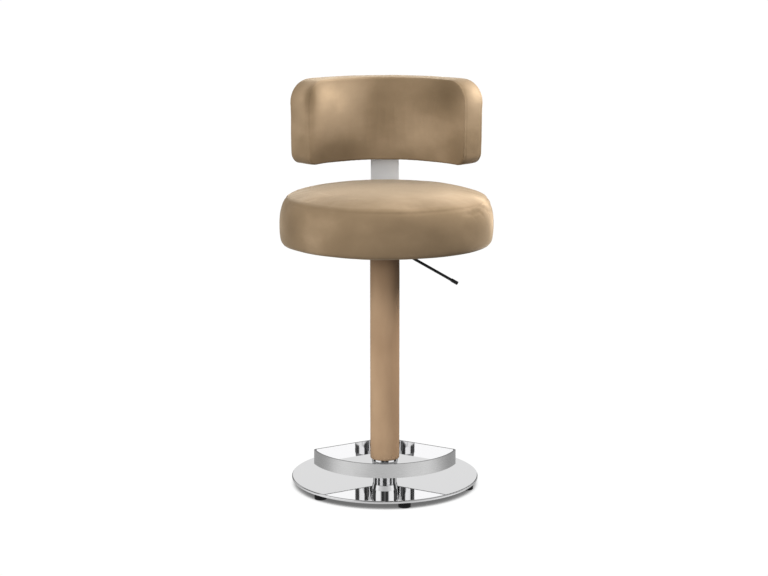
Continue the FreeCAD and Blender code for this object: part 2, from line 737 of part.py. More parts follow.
def seat_board():
    board = rod(BOARD_RADIUS, SEAT_BOTTOM, BOARD_TOP)
    points = seat_bolt_points() + bar_bolt_points()
    holes = [rod(TEE_NUT_BARREL_RADIUS, SEAT_BOTTOM, BOARD_TOP, x, y) for x, y in points]
    return cut(board, holes)


def dust_cover():
    sheet = rod(DUST_COVER_RADIUS, SEAT_PLATE_TOP, SEAT_BOTTOM)
    points = seat_bolt_points() + bar_bolt_points()
    radius = BOLT_RADIUS + BOLT_HOLE_GAP
    return cut(sheet, [rod(radius, SEAT_PLATE_TOP, SEAT_BOTTOM, x, y) for x, y in points])


# Backrest


def sector(inner, outer, half_angle, z0, z1):
    """A bent slab around the backrest's own centre line, symmetric about +Y."""
    slab = tube(outer, inner, z0, z1, 0.0, BACK_CENTRE_Y)
    reach = 2 * outer
    half = math.radians(half_angle)
    centre = vec(0, BACK_CENTRE_Y, z0)
    left = centre + vec(-reach * math.sin(half), reach * math.cos(half), 0)
    right = centre + vec(reach * math.sin(half), reach * math.cos(half), 0)
    far = reach * vec(0, 1, 0)
    corners = [centre, right, right + far, left + far, left, centre]
    wedge = Part.Face(Part.makePolygon(corners)).extrude(UP * (z1 - z0))
    return slab.common(wedge)


def radial_edges(shape, level):
    """The straight edges that run from the inside of the bend to the outside, at one height."""
    return [
        e for e in shape.Edges
        if e.Curve.TypeId == "Part::GeomLine" and e.BoundBox.ZLength < 0.01
        and abs(e.BoundBox.ZMax - level) < 0.01
    ]


def bent_pad(inner, outer, half_angle, z0, z1, bottom_corner, top_corner):
    """A bent slab with its four end corners rounded."""
    slab = sector(inner, outer, half_angle, z0, z1)
    slab = slab.makeFillet(top_corner, radial_edges(slab, z1))
    return slab.makeFillet(bottom_corner, radial_edges(slab, z0))


def back_form(inset):
    """The backrest's outer form, or the same form a little smaller all round."""
    outer = BACK_OUTER_RADIUS - inset
    inner = BACK_OUTER_RADIUS - BACK_THICK + inset
    middle = BACK_OUTER_RADIUS - BACK_THICK / 2
    half_angle = BACK_HALF_ANGLE - math.degrees(inset / middle)
    pad = bent_pad(
        inner, outer, half_angle, BACK_BOTTOM + inset, BACK_TOP - inset,
        BACK_BOTTOM_CORNER - inset, BACK_TOP_CORNER - inset,
    )
    rims = [
        e for e in pad.Edges
        if any(on_bend(e, radius) for radius in (inner, outer))
    ]
    return pad.makeFillet(BACK_EDGE_ROUND - inset, rims)


def on_bend(edge, radius):
    """Whether the whole edge lies on the bend of that radius."""
    first = edge.FirstParameter
    span = edge.LastParameter - first
    points = [edge.valueAt(first + span * share) for share in (0.0, 0.5, 1.0)]
    distances = [math.hypot(p.x, p.y - BACK_CENTRE_Y) for p in points]
    return all(abs(d - radius) < 0.01 for d in distances)


def back_board_form(gap):
    return bent_pad(
        BACK_BOARD_OUTER - BACK_BOARD_THICK - gap, BACK_BOARD_OUTER + gap,
        BACK_BOARD_HALF_ANGLE + math.degrees(gap / BACK_BOARD_OUTER),
        BACK_BOTTOM + BACK_BOARD_MARGIN - gap, BACK_TOP - BACK_BOARD_MARGIN + gap,
        BACK_BOARD_CORNER, BACK_BOARD_CORNER,
    )


def back_bolt_points():
    half = BAR_BOLT_PITCH_X / 2
    levels = (BACK_BOLT_FIRST_Z, BACK_BOLT_FIRST_Z + BACK_BOLT_PITCH_Z)
    return [(x, z) for x in (-half, half) for z in levels]


def rod_y(radius, y0, y1, x, z):
    """A solid cylinder along Y from y0 to y1."""
    return Part.makeCylinder(radius, y1 - y0, vec(x, y0, z), BACK)


def back_nut_front():
    """Front of the board at the tee nuts, where their flanges sit."""
    x = BAR_BOLT_PITCH_X / 2 + TEE_NUT_FLANGE_RADIUS
    inner = BACK_BOARD_OUTER - BACK_BOARD_THICK
    return BACK_CENTRE_Y + math.sqrt(inner * inner - x * x)


def back_bolt_channel(x, z):
    """The way through the foam and the cover for one bolt and its tee nut."""
    front = back_nut_front() - TEE_NUT_FLANGE_THICK - SOFT_GAP
    head = rod_y(TEE_NUT_FLANGE_RADIUS + SOFT_GAP, front, BACK_BOARD_REAR, x, z)
    shank = rod_y(BOLT_RADIUS + SOFT_GAP, front, BACK_REAR, x, z)
    return fuse([head, shank])


def back_cover():
    skin = back_form(0.0).cut(back_form(COVER_THICK))
    holes = [
        rod_y(BOLT_RADIUS + SOFT_GAP, BACK_BOARD_REAR, BAR_OUTER_Y, x, z)
        for x, z in back_bolt_points()
    ]
    return cut(skin, holes)


def back_foam():
    channels = [back_bolt_channel(x, z) for x, z in back_bolt_points()]
    return cut(back_form(COVER_THICK), [back_board_form(SOFT_GAP)] + channels)


def back_board():
    front = back_nut_front() - TEE_NUT_FLANGE_THICK
    seats = [
        rod_y(TEE_NUT_FLANGE_RADIUS, front, back_nut_front(), x, z) for x, z in back_bolt_points()
    ]
    holes = [
        rod_y(TEE_NUT_BARREL_RADIUS, front, BACK_BOARD_REAR, x, z) for x, z in back_bolt_points()
    ]
    return cut(back_board_form(0.0), seats + holes)


def back_tee_nuts():
    nuts = []
    for x, z in back_bolt_points():
        front = back_nut_front() - TEE_NUT_FLANGE_THICK
        flange = rod_y(TEE_NUT_FLANGE_RADIUS, front, back_nut_front(), x, z)
        barrel = rod_y(TEE_NUT_BARREL_RADIUS, front, BACK_BOARD_REAR - TEE_NUT_SHORT, x, z)
        bore = rod_y(BOLT_RADIUS + RUNNING_GAP, front, BACK_BOARD_REAR, x, z)
        nuts.append(fuse([flange, barrel]).cut(bore))
    return nuts


def back_bolts():
    bolts = []
    for x, z in back_bolt_points():
        sink = BOLT_HEAD_RADIUS - BOLT_RADIUS
        cone = Part.makeCone(
            BOLT_HEAD_RADIUS, BOLT_RADIUS, sink, vec(x, BAR_OUTER_Y, z), vec(0, -1, 0)
        )
        shank = rod_y(BOLT_RADIUS, back_nut_front(), BAR_OUTER_Y, x, z)
        corners = [
            vec(x + px, BAR_OUTER_Y, z + pz) for px, pz in on_circle(BOLT_RADIUS * 0.75, 6, 0)
        ]
        socket = Part.Face(Part.makePolygon(corners + corners[:1])).extrude(BACK * -HEX_SOCKET_DEPTH)
        bolts.append(fuse([cone, shank]).cut(socket))
    return bolts


def back_bolt_hole(x, z):
    """Countersunk hole in the bar."""
    radius = BOLT_RADIUS + FIT_GAP
    sink = BOLT_HEAD_RADIUS - BOLT_RADIUS
    cone = Part.makeCone(
        BOLT_HEAD_RADIUS + FIT_GAP, radius, sink, vec(x, BAR_OUTER_Y, z), vec(0, -1, 0)
    )
    return fuse([cone, rod_y(radius, BAR_INNER_Y, BAR_OUTER_Y, x, z)])


def back_bar():
    """Flat steel bent from under the seat up behind the backrest."""
    half = BAR_WIDTH / 2
    bend_y = BAR_INNER_Y - BAR_BEND_RADIUS
    bend_z = SEAT_PLATE_TOP + BAR_BEND_RADIUS
    outer_bend = BAR_BEND_RADIUS + BAR_THICK
    low = math.sqrt(0.5)
    corners = [
        vec(-half, BAR_FRONT, SEAT_PLATE_TOP),
        vec(-half, bend_y, SEAT_PLATE_TOP),
        vec(-half, BAR_INNER_Y, bend_z),
        vec(-half, BAR_INNER_Y, BAR_TOP),
        vec(-half, BAR_OUTER_Y, BAR_TOP),
        vec(-half, BAR_OUTER_Y, bend_z),
        vec(-half, bend_y, BAR_BOTTOM),
        vec(-half, BAR_FRONT, BAR_BOTTOM),
    ]
    inner_mid = vec(-half, bend_y + BAR_BEND_RADIUS * low, bend_z - BAR_BEND_RADIUS * low)
    outer_mid = vec(-half, bend_y + outer_bend * low, bend_z - outer_bend * low)
    edges = [
        Part.makeLine(corners[0], corners[1]),
        Part.Arc(corners[1], inner_mid, corners[2]).toShape(),
        Part.makeLine(corners[2], corners[3]),
        Part.makeLine(corners[3], corners[4]),
        Part.makeLine(corners[4], corners[5]),
        Part.Arc(corners[5], outer_mid, corners[6]).toShape(),
        Part.makeLine(corners[6], corners[7]),
        Part.makeLine(corners[7], corners[0]),
    ]
    bar = Part.Face(Part.Wire(edges)).extrude(RIGHT * BAR_WIDTH)
    ends = [
        e for e in bar.Edges
        if e.BoundBox.XLength < 0.01
        and (e.BoundBox.ZMin > BAR_TOP - 0.01 or e.BoundBox.YMax < BAR_FRONT + 0.01)
    ]
    bar = bar.makeFillet(BAR_CORNER, ends)
    holes = [
        rod(BOLT_RADIUS + BOLT_HOLE_GAP, BAR_BOTTOM, SEAT_PLATE_TOP, x, y)
        for x, y in bar_bolt_points()
    ]
    holes += [back_bolt_hole(x, z) for x, z in back_bolt_points()]
    return cut(bar, holes)


# Footrest


def polar(radius, degrees):
    """A point on a circle around the column, at z = 0."""
    angle = math.radians(degrees)
    return vec(radius * math.cos(angle), radius * math.sin(angle), 0)


def ring_prism(front, rear, corner_radius):
    """The area inside one face of the footrest ring, drawn up to the ring's height.

    Seen from above, a wide arc concentric with the column meets two straight sides at rounded
    corners, and the sides run tangent to a bend behind the column.
    """
    tangent_angle = 90.0 - RING_SIDE_ANGLE
    tangent = polar(rear, tangent_angle)
    reach = math.sqrt(front * front - rear * rear)
    corner = tangent + polar(reach, -RING_SIDE_ANGLE)
    corner_angle = math.degrees(math.atan2(corner.y, corner.x))
    right = [
        Part.Arc(polar(front, -90), polar(front, (corner_angle - 90) / 2), corner).toShape(),
        Part.makeLine(corner, tangent),
        Part.Arc(tangent, polar(rear, (tangent_angle + 90) / 2), polar(rear, 90)).toShape(),
    ]
    left = [edge.mirror(vec(0, 0, 0), RIGHT) for edge in right]
    wire = Part.Wire(Part.__sortEdges__(right + left))
    prism = Part.Face(wire).extrude(UP * RING_HEIGHT)
    corners = [
        e for e in prism.Edges
        if e.BoundBox.ZLength > RING_HEIGHT / 2 and abs(abs(e.BoundBox.XMin) - corner.x) < 0.1
    ]
    prism = prism.makeFillet(corner_radius, corners)
    prism.translate(UP * RING_BOTTOM)
    return prism


def ring_screw_levels():
    middle = RING_BOTTOM + RING_HEIGHT / 2
    return (middle - RING_SCREW_PITCH / 2, middle + RING_SCREW_PITCH / 2)


def ring_screw_hole(z):
    return rod_y(RING_SCREW_RADIUS + FIT_GAP, 0, RING_REAR_RADIUS + RING_THICK, 0, z)


def ring_screw_form(z, gap):
    """A countersunk screw from behind the ring into the outer tube."""
    rear = RING_REAR_RADIUS + RING_THICK
    sink = RING_SCREW_HEAD_RADIUS - RING_SCREW_RADIUS
    cone = Part.makeCone(
        RING_SCREW_HEAD_RADIUS + gap, RING_SCREW_RADIUS + gap, sink, vec(0, rear, z), vec(0, -1, 0)
    )
    return fuse([cone, rod_y(RING_SCREW_RADIUS + gap, OUTER_TUBE_BORE, rear, 0, z)])


def footrest_ring():
    """Flat steel strip, bent on edge and joined behind the column."""
    front = RING_FRONT_RADIUS
    rear = RING_REAR_RADIUS
    outer = ring_prism(front, rear + RING_THICK, RING_CORNER_RADIUS)
    inner = ring_prism(front - RING_THICK, rear, RING_CORNER_RADIUS - RING_THICK)
    return cut(outer, [inner] + [ring_screw_form(z, FIT_GAP) for z in ring_screw_levels()])


def saddle_form(gap):
    """Curved seat on the back of the outer tube that fills the wrap's window."""
    low = RING_BOTTOM + SADDLE_MARGIN - gap
    high = RING_TOP - SADDLE_MARGIN + gap
    body = tube(RING_REAR_RADIUS, OUTER_TUBE_RADIUS, low, high)
    reach = 2 * RING_REAR_RADIUS
    half = math.radians(SADDLE_HALF_ANGLE) + gap / OUTER_TUBE_RADIUS
    corners = [
        vec(0, 0, low),
        vec(reach * math.sin(half), reach * math.cos(half), low),
        vec(-reach * math.sin(half), reach * math.cos(half), low),
    ]
    wedge = Part.Face(Part.makePolygon(corners + corners[:1])).extrude(UP * (high - low))
    return body.common(wedge)


def footrest_saddle():
    return cut(saddle_form(0.0), [ring_screw_hole(z) for z in ring_screw_levels()])


def footrest_screws():
    screws = []
    rear = RING_REAR_RADIUS + RING_THICK
    for z in ring_screw_levels():
        corners = [vec(px, rear, z + pz) for px, pz in on_circle(RING_SCREW_RADIUS * 0.7, 6, 0)]
        socket = Part.Face(Part.makePolygon(corners + corners[:1])).extrude(BACK * -HEX_SOCKET_DEPTH)
        screws.append(ring_screw_form(z, 0.0).cut(socket))
    return screws


def parts():
    """Every node's name, with its solid or its group of solids."""
    named = {
        "floor_plate": floor_plate(),
        "column_flange": column_flange(),
        "flange_screws": flange_screws(),
        "foot_screws": foot_screws(),
        "base_tube": base_tube(),
        "column_guide": column_guide(),
        "lower_race": race(BEARING_BOTTOM),
        "bearing_balls": bearing_balls(),
        "ball_cage": ball_cage(),
        "upper_race": race(UPPER_RACE_BOTTOM),
        "piston_rod": piston_rod(),
        "piston": piston(),
        "rod_clip": rod_clip(),
        "buffer_collar": buffer_collar(),
        "spring_buffer": spring_buffer(),
        "spring_cylinder": spring_cylinder(),
        "spring_gland": spring_gland(),
        "stroke_spacer": stroke_spacer(),
        "valve_pin": valve_pin(),
        "outer_tube": outer_tube(),
        "end_ring": end_ring(),
        "lower_bush": lower_bush(),
        "column_wrap": column_wrap(),
        "taper_socket": taper_socket(),
        "mechanism_bracket": mechanism_bracket(),
        "seat_plate": seat_plate(),
        "seat_bolts": seat_bolts(),
        "lever_hub": lever_hub(),
        "lever_rod": lever_rod(),
        "lever_grip": lever_grip(),
        "lever_pivot_pin": lever_pivot_pin(),
        "dust_cover": dust_cover(),
        "seat_board": seat_board(),
        "seat_tee_nuts": [tee_nut(x, y) for x, y in seat_bolt_points() + bar_bolt_points()],
        "seat_foam": seat_foam(),
        "seat_cover": seat_cover(),
        "back_bar": back_bar(),
        "bar_bolts": bar_bolts(),
        "back_board": back_board(),
        "back_tee_nuts": back_tee_nuts(),
        "back_bolts": back_bolts(),
        "back_foam": back_foam(),
        "back_cover": back_cover(),
        "footrest_ring": footrest_ring(),
        "footrest_saddle": footrest_saddle(),
        "footrest_screws": footrest_screws(),
    }
    for index, (x, y) in enumerate(foot_points(), start=1):
        named["foot_%d" % index] = foot(x, y)
    return named


os.makedirs("parts", exist_ok=True)
for name, made in parts().items():
    shape = Part.makeCompound(made) if isinstance(made, list) else made
    solids = shape.Solids
    if not solids or not all(s.isValid() and s.Volume > 0 for s in solids):
        raise SystemExit(name + " is not a valid solid")
    shape.exportStep("parts/%s.step" % name)
    print("%-18s %2d solid(s) %12.1f mm3" % (name, len(solids), sum(s.Volume for s in solids)))
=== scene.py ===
"""Visual model of the stylist stool, in metres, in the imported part's own frame.

+Z is up, the origin is on the floor on the column's axis, and the sitter faces -Y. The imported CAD
model is the frame. The cushion, the backrest, the column's wrap and the dust cover are modelled
here, and every other piece keeps its CAD shape and gets a material.
"""

import json
import math

import bmesh
import bpy
import numpy as np
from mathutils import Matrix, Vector, kdtree, noise


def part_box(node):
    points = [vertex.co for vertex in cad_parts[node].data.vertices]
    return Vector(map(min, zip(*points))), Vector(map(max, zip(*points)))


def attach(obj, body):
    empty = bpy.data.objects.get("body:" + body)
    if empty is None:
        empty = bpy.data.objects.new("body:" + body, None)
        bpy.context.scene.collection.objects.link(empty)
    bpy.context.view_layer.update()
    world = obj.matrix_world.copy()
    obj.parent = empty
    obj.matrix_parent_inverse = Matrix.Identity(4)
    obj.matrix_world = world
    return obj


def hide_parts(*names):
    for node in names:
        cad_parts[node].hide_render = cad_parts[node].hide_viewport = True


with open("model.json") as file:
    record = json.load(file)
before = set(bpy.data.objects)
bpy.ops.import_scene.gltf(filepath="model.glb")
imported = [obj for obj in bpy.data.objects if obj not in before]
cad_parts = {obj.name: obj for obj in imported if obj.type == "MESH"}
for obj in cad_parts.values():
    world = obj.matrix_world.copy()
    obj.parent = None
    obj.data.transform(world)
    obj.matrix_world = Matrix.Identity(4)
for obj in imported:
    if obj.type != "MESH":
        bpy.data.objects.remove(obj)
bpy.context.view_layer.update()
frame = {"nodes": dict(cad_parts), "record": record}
MM = 0.001
scene = bpy.context.scene

# Camera, set before anything is made: its place in metres, its downward pitch in degrees and its
# lens in millimetres
CAMERA_PLACE = (-0.0018, -3.900, 1.187)
CAMERA_PITCH = 11.05
CAMERA_LENS = 88.03
CAMERA_SENSOR = 36.0
CAMERA_REACH = 400.0


def add_object(name, data):
    """A new object in the scene."""
    thing = bpy.data.objects.new(name, data)
    scene.collection.objects.link(thing)
    return thing


def make_camera():
    data = bpy.data.cameras.new("camera")
    data.lens = CAMERA_LENS
    data.sensor_width = CAMERA_SENSOR
    data.clip_end = CAMERA_REACH
    camera = add_object("camera", data)
    camera.location = CAMERA_PLACE
    camera.rotation_euler = (math.radians(90.0 - CAMERA_PITCH), 0.0, 0.0)
    scene.camera = camera


make_camera()
scene.view_settings.view_transform = "Standard"
scene.view_settings.look = "None"

# ---------------------------------------------------------------- shader helpers


class Tree:
    """Adds nodes to one node tree and joins them."""

    def __init__(self, tree):
        self.tree = tree
        tree.nodes.clear()

    def add(self, kind, inputs=None, **settings):
        """A new node. Each input is fed by a socket, a node's first output or a plain value."""
        node = self.tree.nodes.new(kind)
        for key, value in settings.items():
            setattr(node, key, value)
        for key, value in (inputs or {}).items():
            self.feed(node.inputs[key], value)
        return node

    def feed(self, socket, value):
        if isinstance(value, bpy.types.NodeSocket):
            self.tree.links.new(value, socket)
        elif isinstance(value, bpy.types.Node):
            self.tree.links.new(value.outputs[0], socket)
        else:
            socket.default_value = value

    def math(self, operation, a, b=0.0):
        return self.add("ShaderNodeMath", {0: a, 1: b}, operation=operation)

    def ramp(self, factor, stops):
        """A colour ramp of (position, value or colour) stops."""
        node = self.add("ShaderNodeValToRGB", {0: factor})
        ramp = node.color_ramp
        while len(ramp.elements) < len(stops):
            ramp.elements.new(0.5)
        for element, (position, value) in zip(ramp.elements, stops):
            element.position = position
            colour = value if isinstance(value, tuple) else (value, value, value)
            element.color = (*colour, 1.0)
        return node

    def noise(self, coords, scale, detail=2.0, roughness=0.5, stretch=(1, 1, 1)):
        mapping = self.add("ShaderNodeMapping", {"Vector": coords, "Scale": stretch})
        return self.add(
            "ShaderNodeTexNoise",
            {"Vector": mapping, "Scale": scale, "Detail": detail, "Roughness": roughness},
        )

    def mix(self, factor, a, b):
        """Colour a where the factor is 0 and colour b where it is 1."""
        node = self.add("ShaderNodeMix", data_type="RGBA")
        self.feed(node.inputs[0], factor)
        for socket, value in ((node.inputs[6], a), (node.inputs[7], b)):
            self.feed(socket, (*value, 1.0) if isinstance(value, tuple) else value)
        return node.outputs[2]

    def bump(self, height, strength, distance, normal=None):
        inputs = {"Height": height, "Strength": strength, "Distance": distance}
        if normal is not None:
            inputs["Normal"] = normal
        return self.add("ShaderNodeBump", inputs)


def surface(name, roughness, metallic=0.0, **sockets):
    """A material with one Principled shader. Returns (material, tree, shader, coordinates)."""
    material = bpy.data.materials.new(name)
    material.use_nodes = True
    tree = Tree(material.node_tree)
    inputs = {"Metallic": metallic, "Roughness": roughness}
    inputs.update((key.replace("_", " "), value) for key, value in sockets.items())
    shader = tree.add("ShaderNodeBsdfPrincipled", inputs)
    tree.add("ShaderNodeOutputMaterial", {"Surface": shader})
    coords = tree.add("ShaderNodeTexCoord").outputs["Object"]
    return material, tree, shader, coords


def suede(name, dark, light, nap_scale, sheen, tint):
    """Brushed microfibre: soft patches where the pile lies differently, over a fine grain.

    The mesh's own attribute, about -1 for dark and 1 for light, adds larger pile patches and
    painted light and shade.
    """
    material, tree, shader, coords = surface(
        name, 0.82, Sheen_Weight=sheen, Sheen_Roughness=0.34, Sheen_Tint=(*tint, 1.0),
        Specular_IOR_Level=0.24,
    )
    patches = tree.noise(coords, 6.5, 2.0, 0.5, nap_scale)
    streaks = tree.noise(coords, 34.0, 3.0, 0.55, nap_scale)
    # The mesh's attribute: pile patches together with painted light and shade
    marks = tree.add("ShaderNodeAttribute", attribute_name="nap_and_light").outputs["Fac"]
    blend = 0.19
    for layer, weight in ((patches, 0.5), (streaks, 0.12), (marks, 0.3)):
        blend = tree.math("ADD", tree.math("MULTIPLY", layer, weight), blend)
    middle = tuple((a * b) ** 0.5 for a, b in zip(dark, light))
    # The ramp's top stop is a painted highlight, half as bright again as the light tone
    painted_highlight = tuple(1.5 * c for c in light)
    tone = tree.ramp(blend, [(0.15, dark), (0.5, middle), (0.8, light), (1.0, painted_highlight)])
    grain = tree.noise(coords, 2600.0, 2.0, 0.7)
    speckle = tree.mix(tree.ramp(grain, [(0.3, 0.0), (0.7, 0.10)]), tone, light)
    tree.feed(shader.inputs["Base Color"], speckle)
    weave = tree.add(
        "ShaderNodeTexVoronoi", {"Vector": coords, "Scale": 1500.0, "Randomness": 0.85}
    )
    height = tree.math("ADD", tree.math("MULTIPLY", grain, 0.7), weave.outputs["Distance"])
    fine = tree.bump(height, 0.3, 0.00022)
    tree.feed(shader.inputs["Normal"], tree.bump(streaks, 0.16, 0.001, fine))
    return material


def polished(name, colour, roughness):
    """Chrome plate with faint wipe marks in its gloss."""
    material, tree, shader, coords = surface(name, roughness, 1.0, Base_Color=(*colour, 1.0))
    smears = tree.noise(coords, 26.0, 5.0, 0.6, (1, 1, 3))
    tree.feed(
        shader.inputs["Roughness"],
        tree.ramp(smears, [(0.35, roughness * 0.6), (0.7, roughness * 1.5)]),
    )
    return material


# Noise scale along x, y and z that draws the long fine lines of a brushing belt
BELT_LINES = (6, 6, 1400)


def brushed(name, colour, roughness, grain_scale=BELT_LINES, metallic=1.0, darker_sides=False):
    """Steel with fine lines from a brushing belt. With darker_sides, faces turned to X are darker."""
    material, tree, shader, coords = surface(name, roughness, metallic)
    lines = tree.noise(coords, 1.0, 3.0, 0.7, grain_scale)
    cloud = tree.noise(coords, 14.0, 3.0)
    low = tuple(c * 0.88 for c in colour)
    tone = tree.mix(tree.ramp(cloud, [(0.3, 0), (0.7, 1)]), low, colour)
    if darker_sides:
        turned = tree.add("ShaderNodeTexCoord").outputs["Normal"]
        sideways = tree.math("ABSOLUTE", tree.add("ShaderNodeSeparateXYZ", {0: turned}).outputs[0])
        tone = tree.mix(tree.ramp(sideways, [(0.5, 0.0), (0.8, 1.0)]), tone, (0.16, 0.16, 0.165))
    tree.feed(shader.inputs["Base Color"], tone)
    tree.feed(
        shader.inputs["Roughness"],
        tree.ramp(lines, [(0.3, roughness * 0.75), (0.7, roughness * 1.3)]),
    )
    tree.feed(shader.inputs["Normal"], tree.bump(lines, 0.18, 0.0002))
    return material


def ring_steel(name):
    """Steel strip, brushed on its outer face and polished on its inner face and its edges, with the
    edges painted near black as a painted dark reflection.
    """
    material, tree, shader, coords = surface(name, 0.3, 1.0)
    turned = tree.add("ShaderNodeTexCoord").outputs["Normal"]
    flat = tree.add("ShaderNodeVectorMath", {0: coords, 1: (1.0, 1.0, 0.0)}, operation="MULTIPLY")
    radial = tree.add("ShaderNodeVectorMath", {0: flat}, operation="NORMALIZE")
    outward = tree.add(
        "ShaderNodeVectorMath", {0: radial, 1: turned}, operation="DOT_PRODUCT"
    ).outputs["Value"]
    brushed_face = tree.ramp(outward, [(0.10, 0.0), (0.22, 1.0)])
    upright = tree.math("ABSOLUTE", tree.add("ShaderNodeSeparateXYZ", {0: turned}).outputs[2])
    painted_dark_edge = tree.ramp(upright, [(0.6, 0.0), (0.8, 1.0)])
    lines = tree.noise(coords, 1.0, 3.0, 0.7, BELT_LINES)
    cloud = tree.noise(coords, 16.0, 3.0)
    share = tree.ramp(cloud, [(0.3, 0), (0.7, 1)])
    satin = tree.mix(share, (0.60, 0.60, 0.60), (0.66, 0.66, 0.66))
    faces = tree.mix(brushed_face, (0.93, 0.93, 0.935), satin)
    # The top and bottom edges are painted near black: a painted dark reflection
    tree.feed(shader.inputs["Base Color"], tree.mix(painted_dark_edge, faces, (0.03, 0.03, 0.03)))
    rough = tree.ramp(lines, [(0.3, 0.24), (0.7, 0.36)])
    gloss = tree.mix(brushed_face, (0.05, 0.05, 0.05), rough.outputs[0])
    tree.feed(shader.inputs["Roughness"], gloss)
    depth = tree.math("MULTIPLY", lines, brushed_face)
    tree.feed(shader.inputs["Normal"], tree.bump(depth, 0.12, 0.0002))
    return material


def grained(name, dark, light, roughness, scale, strength, depth, specular=0.5):
    """A moulded, coated or rubber surface: two close tones and a fine grain."""
    material, tree, shader, coords = surface(name, roughness, Specular_IOR_Level=specular)
    cloud = tree.noise(coords, scale * 0.05, 3.0)
    tone = tree.mix(tree.ramp(cloud, [(0.35, 0), (0.65, 1)]), dark, light)
    tree.feed(shader.inputs["Base Color"], tone)
    grain = tree.noise(coords, scale, 3.0, 0.6)
    tree.feed(
        shader.inputs["Roughness"],
        tree.ramp(grain, [(0.3, roughness * 0.85), (0.7, min(1.0, roughness * 1.15))]),
    )
    tree.feed(shader.inputs["Normal"], tree.bump(grain, strength, depth))
    return material


def plywood(name):
    """Birch plywood: plies in the edge and long grain in the face."""
    material, tree, shader, coords = surface(name, 0.62)
    plies = tree.add(
        "ShaderNodeTexWave", {"Vector": coords, "Scale": 120.0, "Distortion": 0.6},
        bands_direction="Z",
    )
    grain = tree.noise(coords, 30.0, 6.0, 0.6, (1, 14, 1))
    tone = tree.mix(tree.ramp(grain, [(0.3, 0), (0.7, 1)]), (0.36, 0.22, 0.11), (0.55, 0.38, 0.21))
    tree.feed(
        shader.inputs["Base Color"],
        tree.mix(tree.ramp(plies, [(0.4, 0), (0.6, 0.35)]), tone, (0.30, 0.18, 0.09)),
    )
    tree.feed(shader.inputs["Normal"], tree.bump(grain, 0.2, 0.0003))
    return material


SEAT_SUEDE = suede(
    "seat_suede", (0.116, 0.078, 0.042), (0.390, 0.285, 0.182), nap_scale=(1, 1, 1.4),
    sheen=0.45, tint=(1.0, 0.86, 0.68),
)
WRAP_SUEDE = suede(
    "wrap_suede", (0.19, 0.115, 0.064), (0.56, 0.385, 0.240), nap_scale=(1, 1, 0.35),
    sheen=0.08, tint=(1.0, 0.84, 0.66),
)
MIRROR_CHROME = polished("mirror_chrome", (0.68, 0.68, 0.685), 0.03)
TUBE_CHROME = polished("tube_chrome", (0.80, 0.80, 0.805), 0.05)
RING_STEEL = ring_steel("ring_steel")
BAR_STEEL = brushed("bar_steel", (0.84, 0.865, 0.89), 0.5, metallic=0.0, darker_sides=True)
PLATED_STEEL = brushed("plated_steel", (0.55, 0.54, 0.50), 0.38, (60, 60, 400))
BLACK_RUBBER = grained(
    "black_rubber", (0.004, 0.004, 0.004), (0.009, 0.009, 0.010), 0.75, 900, 0.4, 0.0003, 0.2
)
BLACK_COAT = grained(
    "black_coat", (0.004, 0.004, 0.005), (0.008, 0.008, 0.009), 0.40, 1400, 0.2, 0.0002, 0.35
)
BLACK_PLASTIC = grained(
    "black_plastic", (0.006, 0.006, 0.006), (0.012, 0.012, 0.012), 0.5, 1800, 0.3, 0.0002, 0.3
)
NYLON = grained("nylon", (0.62, 0.61, 0.56), (0.70, 0.69, 0.65), 0.5, 900, 0.1, 0.0002)
FOAM = grained("foam", (0.66, 0.60, 0.38), (0.78, 0.73, 0.52), 0.95, 700, 0.8, 0.0008)
DUST_CLOTH = grained(
    "dust_cloth", (0.012, 0.012, 0.013), (0.026, 0.026, 0.028), 0.95, 1100, 0.7, 0.0004, 0.2
)
BIRCH = plywood("birch_plywood")

NODE_MATERIALS = {
    "chrome_plate": MIRROR_CHROME,
    "satin_steel": RING_STEEL,
    "chrome_tube": TUBE_CHROME,
    "wrap_fabric": WRAP_SUEDE,
    "seat_fabric": SEAT_SUEDE,
    "foam": FOAM,
    "black_rubber": BLACK_RUBBER,
    "black_steel": BLACK_COAT,
    "black_plastic": BLACK_PLASTIC,
    "nylon": NYLON,
    "plated_steel": PLATED_STEEL,
    "plywood": BIRCH,
    "dust_cloth": DUST_CLOTH,
}


def dress_nodes():
    """Gives every CAD node the material of its slot in the record."""
    slots = {row["node"]: row["material_slot"] for row in frame["record"]["subparts"]}
    for name, piece in frame["nodes"].items():
        material = BAR_STEEL if name == "back_bar" else NODE_MATERIALS[slots[name]]
        if not piece.material_slots:
            piece.data.materials.append(material)
        for slot in piece.material_slots:
            slot.material = material


dress_nodes()

# ---------------------------------------------------------------- mesh helpers

# The cloth run that swells the covers
VOXEL = 5 * MM
CLOTH_FRAMES = 20
CLOTH_PRESSURE = 4.0
CLOTH_SETTINGS = {
    "quality": 5,
    "mass": 0.25,
    "tension_stiffness": 18.0,
    "compression_stiffness": 6.0,
    "shear_stiffness": 6.0,
    "bending_stiffness": 0.4,
    "use_pressure": True,
    "uniform_pressure_force": CLOTH_PRESSURE,
}
# Each point follows this many of the cloth's nearest points, within about this reach
FOLLOWED = 8
FOLLOW_REACH = 2 * MM
# Limits of the attribute that holds pile patches and painted light and shade
NAP_AND_LIGHT_LIMITS = (-1.3, 1.6)


